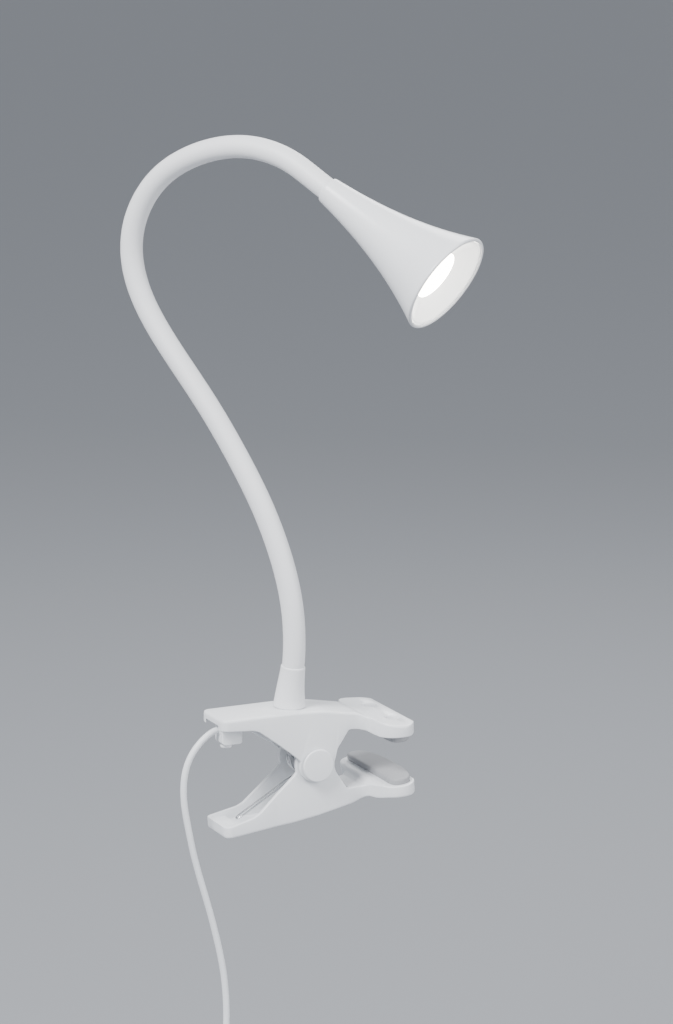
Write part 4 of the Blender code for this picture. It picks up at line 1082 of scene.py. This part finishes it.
sleeve_silicone = silicone("sleeve_silicone")
cuts = np.r_[BOOT_H - 0.0006, HINGE_FIRST + HINGE_STEP * (np.arange(8) + 0.5), NECK_END - 0.0002]
for i in range(9):
    s = np.linspace(cuts[i], cuts[i + 1], round((cuts[i + 1] - cuts[i]) / 0.0012) + 1)
    stretch = skinned(f"sleeve_stretch_{i + 1}", neck_rings(s, SLEEVE_R, 48))
    stretch.data.materials.append(sleeve_silicone)
    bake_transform(stretch)
    names = [f"neck_sleeve_{i + 1}"] if i else ["neck_sleeve_0", "neck_sleeve_1"]
    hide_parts(*names)


# ---------------------------------------------------------------- shade
# A bell moulded in white ABS. Its collar closes on the end of the sleeve; it flares slowly at
# first and faster to a rounded lip.

HEAD_LEN, COLLAR_R, MOUTH_R, SHADE_WALL = 76.8, 6.6, 25.7, 1.8
head_at, head_way = neck_at(NECK_END)
head_at, head_way = head_at[0], head_way[0]


def shade_radius(h):
    """Outer radius at height h: a cubic of the share of the height, slow then fast."""
    share = np.asarray(h) / HEAD_LEN
    return COLLAR_R + (MOUTH_R - COLLAR_R) * (0.42 * share + 0.38 * share**2 + 0.22 * share**3)


bend = np.radians(np.linspace(0, 90, 7))
collar_edge = np.c_[COLLAR_R - 0.4 * (1 - np.sin(bend)), 0.4 * (1 - np.cos(bend))]
wall_h = np.linspace(0.7, HEAD_LEN - 1.5, 90)
outside = np.c_[shade_radius(wall_h), wall_h]
LIP_R = 0.9
flare = math.atan(float(shade_radius(76.0) - shade_radius(75.0)))
lip_turn = np.linspace(-flare, math.pi - flare, 17)
lip_mid = float(shade_radius(HEAD_LEN - LIP_R * (1 + math.sin(flare)))) - LIP_R * math.cos(flare)
lip = np.c_[lip_mid + LIP_R * np.cos(lip_turn), HEAD_LEN - LIP_R + LIP_R * np.sin(lip_turn)]
inside_h = np.linspace(HEAD_LEN - 2.2, 24.0, 60)
inside = np.c_[shade_radius(inside_h) - SHADE_WALL, inside_h]
socket = np.array([(5.3, 19.0), (5.3, 0.3), (5.5, 0.0)])
shade_profile = np.concatenate([collar_edge, outside, lip, inside, socket]) * MM
shade = turned("bell_shade", shade_profile, head_at, head_way, 160, True)
head_abs = white_abs("head_plastic", 0.3)
fitted(shade, head_abs, "head", "head_shade")


# ---------------------------------------------------------------- light engine
# Inside the bell: a white reflector cone, a frosted lens that glows warm white, its seat ring,
# and behind it the LED on its board, a turned aluminium heat sink and the two wires.


def room_r(h):
    """Free radius inside the bell at height h."""
    return shade_radius(h) - SHADE_WALL - GAP


LENS_H, LENS_T, THROAT_R, CONE_WALL = 67.5, 1.8, 12.5, 1.3
lens_r = float(room_r(LENS_H)) - 0.4
cone_low, cone_high = LENS_H + LENS_T + GAP, HEAD_LEN - 1.0
share = np.linspace(0, 1, 30)
cone_h = cone_low + (cone_high - cone_low) * share
cone_in = THROAT_R + (float(room_r(cone_high)) - 0.8 - THROAT_R) * (1.15 * share - 0.15 * share**2)
cone_out = np.minimum(cone_in + CONE_WALL, room_r(cone_h))
cone_profile = np.concatenate([np.c_[cone_out, cone_h], np.c_[cone_in[::-1], cone_h[::-1]]])
cone = turned("reflector", cone_profile * MM, head_at, head_way, 128, True)
reflector = white_abs("reflector_plastic", 0.22)
# Painted light: the white cone is given a glow of its own, which stands in for the light that the lens throws
# on it.
lit = reflector.node_tree.nodes["Principled BSDF"]
lit.inputs["Emission Color"].default_value = (1.0, 0.97, 0.90, 1)
lit.inputs["Emission Strength"].default_value = 1.6
fitted(cone, reflector, "head", "reflector_cone")

bulge = np.linspace(0, 1, 16)
lens_profile = [(0.02, LENS_H), (lens_r, LENS_H), (lens_r, LENS_H + 1.1)]
lens_profile += list(zip(lens_r * (1 - bulge * 0.998), LENS_H + 1.1 + 0.7 * np.sqrt(bulge)))
lens = turned("frosted_lens", np.array(lens_profile) * MM, head_at, head_way, 96)
glow = bpy.data.materials.new("diffuser_lens")
nodes, links, shader = nodes_of(glow)
grain(nodes, links, shader, 1500, 0.45, 0.05, 0.05)
shader.inputs["Base Color"].default_value = (0.95, 0.94, 0.90, 1)
shader.inputs["Emission Color"].default_value = (1.0, 0.93, 0.80, 1)
shader.inputs["Emission Strength"].default_value = 20.0
fitted(lens, glow, "head", "diffuser")
# The lens's seat ring takes the same material, painted glow and all.
dress(reflector, "diffuser_ring")
dress(white_abs("led_board_white", 0.4), "led_board")


def plain(name, colour, other, rough, scale, metallic=0.0):
    """A simple moulded, painted or bare part that hardly shows: two near tints and a grain."""
    material = bpy.data.materials.new(name)
    nodes, links, shader = nodes_of(material)
    place, _ = grain(nodes, links, shader, scale * 8, rough, 0.06, 0.12, 0.00003)
    cloudy(nodes, links, shader, place, colour, other, scale)
    shader.inputs["Metallic"].default_value = metallic
    return material


dress(plain("led_phosphor", (0.90, 0.68, 0.16), (0.95, 0.76, 0.25), 0.4, 400), "led_chip")
dress(metal("sink_aluminium", (0.75, 0.76, 0.78), 0.35, (6, 6, 6), 400), "heat_sink")
dress(plain("wire_red", (0.65, 0.05, 0.04), (0.72, 0.08, 0.06), 0.4, 200), "head_lead")


# ---------------------------------------------------------------- in-line switch
# A slim rocker switch that hangs on the flex: a cover and a base in white ABS, a rocker that
# tips in the cover's window, and a brass contact strip inside.

SWITCH_C = np.array([-0.086, 0.0, -0.178])


def half_shell(name, centre, half_l, half_w, depth, wall, solid, edge, end, side):
    """One half of a two-part housing, open at the parting plane y = 0, in mm about centre.

    Its section across z is a trough of given wall; width and depth shrink along a quarter
    circle at both ends, and the trough fills up where the ends are solid.
    """
    bend = np.radians(np.linspace(4, 90, 8))
    rise = half_l - end * (1 - np.sin(bend))
    flat = np.array([solid + 0.05, solid - 0.05])
    z = np.r_[np.sort(-rise), -flat, np.linspace(-solid + 1, solid - 1, 20), flat[::-1], rise]
    z = np.unique(np.r_[z, -z])
    drop = end - np.sqrt(np.maximum(end**2 - np.clip(np.abs(z) - half_l + end, 0, end) ** 2, 0))
    w, d = half_w - drop * 0.8, depth - drop * 0.8
    inner_w, hollow = w - wall, np.where(np.abs(z) < solid, d - wall, 0.0)
    zero = np.full_like(w, 0.15)
    x = np.stack([w, w, -w, -w, -inner_w, -inner_w, inner_w, inner_w], 1)
    y = np.stack([zero, d, d, zero, zero, hollow + 0.15, hollow + 0.15, zero], 1)
    radii = np.array([0.25, edge, edge, 0.25, 0.1, 0.8, 0.8, 0.1])[None, :, None]
    loops = rounded_loops(np.stack([x, y], 2), radii, 7)
    up = np.broadcast_to(z[:, None], loops.shape[:2])
    points = np.stack([loops[:, :, 0], loops[:, :, 1] * side, up], 2) * MM + centre
    count, cols = points.shape[:2]
    j = np.arange(cols // 2 - 1)
    cap = np.stack([j, j + 1, cols - 2 - j, cols - 1 - j], 1)
    quads = np.concatenate([grid_quads(count, cols), cap, cap + (count - 1) * cols])
    return make_piece(name, points.reshape(-1, 3), quads)


cover = half_shell("switch_top_shell", SWITCH_C, 26.0, 10.0, 7.0, 1.8, 19.0, 2.6, 3.4, -1)
base = half_shell("switch_bottom_shell", SWITCH_C, 26.0, 10.0, 7.0, 1.8, 19.0, 2.6, 3.4, 1)
window = rounded_box("window", SWITCH_C + [-0.0047, -0.009, -0.0082], SWITCH_C + [0.0047, -0.0008, 0.0082], 0)
cut(cover, window)
switch_abs = white_abs("switch_plastic", 0.3)
for shell, node in ((cover, "switch_cover"), (base, "switch_base")):
    fitted(shell, switch_abs, "clip", node)

ROCKER_AXIS = SWITCH_C + [0, -0.0046, 0]
bend = np.radians(np.linspace(0, 90, 5))
z_end = 7.2 - 0.7 * (1 - np.sin(bend))
z = np.sort(np.r_[-z_end, np.linspace(-6.3, 6.3, 25), z_end])
pull = 0.7 - np.sqrt(np.maximum(0.49 - np.clip(np.abs(z) - 6.5, 0, 0.7) ** 2, 0))
crown = -(2.55 + 0.85 * (1 - (z / 7.2) ** 2)) + pull
half = np.full_like(z, 4.2) - pull
foot = np.full_like(z, 1.2) - pull
corners = np.stack([np.stack([half, half, -half, -half], 1), np.stack([foot, crown, crown, foot], 1)], 2)
loops = rounded_loops(corners, np.array([0.4, 0.9, 0.9, 0.4])[None, :, None], 6)
tilt = math.radians(7)
along = np.broadcast_to(z[:, None], loops.shape[:2])
y = loops[:, :, 1] * math.cos(tilt) - along * math.sin(tilt)
up = loops[:, :, 1] * math.sin(tilt) + along * math.cos(tilt)
rocker = skinned("rocker_key", np.stack([loops[:, :, 0], y, up], 2) * MM + ROCKER_AXIS)
fitted(rocker, switch_abs, "rocker", "switch_rocker")
dress(metal("contact_brass", (0.76, 0.58, 0.28), 0.3, (1, 1, 1), 500), "switch_contact")


# ---------------------------------------------------------------- coil tie
# A soft black band of woven hook-and-loop tape round the coil's turns.

TIE_MID, TIE_HALF, TIE_R = 17.95, (7.55, 7.25), 2.0
turn = np.linspace(0, 2 * np.pi, 96, endpoint=False)
quarter = np.sign([np.cos(turn), np.sin(turn)])
line = np.stack(
    [
        quarter[0] * (TIE_HALF[0] - TIE_R) * (np.abs(np.cos(turn)) > 1e-9) + TIE_R * np.cos(turn),
        quarter[1] * (TIE_HALF[1] - TIE_R) * (np.abs(np.sin(turn)) > 1e-9) + TIE_R * np.sin(turn),
    ],
    1,
)
outward = np.stack([np.cos(turn), np.sin(turn)], 1)
section = np.array([[(-0.5, -3.7), (-0.5, 3.7), (0.5, 3.7), (0.5, -3.7)]])
section = rounded_loops(section, np.array([0.35, 0.35, 0.35, 0.35])[None, :, None], 5)[0]
flat_points = line[:, None] + outward[:, None] * section[None, :, :1]
high = np.broadcast_to(section[None, :, 1:], flat_points.shape[:2] + (1,))
band_points = np.concatenate([flat_points + [TIE_MID, 0], high], 2) * MM + COIL_C
band = skinned("coil_band", band_points, True)
fabric = bpy.data.materials.new("tie_black")
nodes, links, shader = nodes_of(fabric)
place, weave = grain(nodes, links, shader, 3500, 0.8, 0.08, 0.6, 0.0001)
cloudy(nodes, links, shader, place, (0.020, 0.020, 0.022), (0.045, 0.045, 0.05), 900)
shader.inputs["Sheen Weight"].default_value = 0.3
fitted(band, fabric, "clip", "cord_tie")


# ---------------------------------------------------------------- plug
# The LED supply is built into the plug: two white shells, a circuit board inside, two round
# pins with sleeved roots, and a ribbed relief where the flex goes in.

PLUG_C = np.array([-0.086, 0.0, -0.3363])
plug_abs = white_abs("plug_plastic", 0.32)
for label, side in (("cover", -1), ("base", 1)):
    shell = half_shell(f"plug_{label}_shell", PLUG_C, 22.9, 15.0, 11.0, 1.8, 21.2, 3.4, 3.6, side)
    if side > 0:
        for pin_side in (-1, 1):
            start = PLUG_C + np.array([pin_side * 9.3, 5.0, 4.0]) * MM
            bore = [(0, 0), (2.3, 0), (2.3, 10), (0, 10)]
            cut(shell, turned("pin_bore", np.array(bore) * MM, start, (0, 1, 0), 32))
    fitted(shell, plug_abs, "clip", f"plug_{label}")
pin_brass = metal("pin_brass", (0.80, 0.66, 0.42), 0.22, (1, 0.2, 1), 700)
bend = np.radians(np.linspace(0, 90, 9))
for label, side in (("left", -1), ("right", 1)):
    start = PLUG_C + np.array([side * 9.3, 4.0, 4.0]) * MM
    dome = np.c_[1.8 - 1.75 * (1 - np.cos(bend)), 24.2 + 1.75 * np.sin(bend)]
    profile = np.concatenate([[(0.02, 0), (1.8, 0)], dome])
    metal_pin = turned(f"plug_prong_{label}", profile * MM, start, (0, 1, 0), 40)
    metal_pin.data.materials.append(pin_brass)
    sleeve = [(1.8, 0.5), (2.0, 0.5), (2.0, 15.6), (1.95, 15.9), (1.8, 16.0)]
    root = turned(f"prong_sleeve_{label}", np.array(sleeve) * MM, start, (0, 1, 0), 40, True)
    root.data.materials.append(plug_abs)
    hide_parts(f"plug_pin_{label}")
    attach(metal_pin, "clip")
    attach(root, "clip")
h = np.linspace(0, 19.4, 120)
rib = 0.28 * (0.5 - 0.5 * np.cos(2 * np.pi * h / 2.425)) * (h > 1.2) * (h < 17.8)
relief_r = 2.5 + 1.9 * (h / 19.4) ** 1.2 - rib
ribbed = np.c_[relief_r, h + 0.25]
relief_profile = np.concatenate([[(1.3, 0.0), (2.2, 0.0)], ribbed, [(4.4, 19.7), (0.02, 19.7)]])
relief_at = np.array([-0.086, 0.0, -0.2933])
relief = turned("ribbed_relief", relief_profile * MM, relief_at, (0, 0, -1), 48)
fitted(relief, jacket, "clip", "plug_relief")
dress(plain("board_green", (0.03, 0.22, 0.09), (0.05, 0.27, 0.12), 0.35, 300), "plug_board")


# Both hang freely. The plug's own meshes are gathered here by their names, leaving out the CAD nodes.

plug_set = [o for o in bpy.data.objects if o.name.startswith(("plug_", "prong_", "ribbed_"))]
plug_set = [o for o in plug_set if o.type == "MESH" and o.name not in frame["nodes"]]
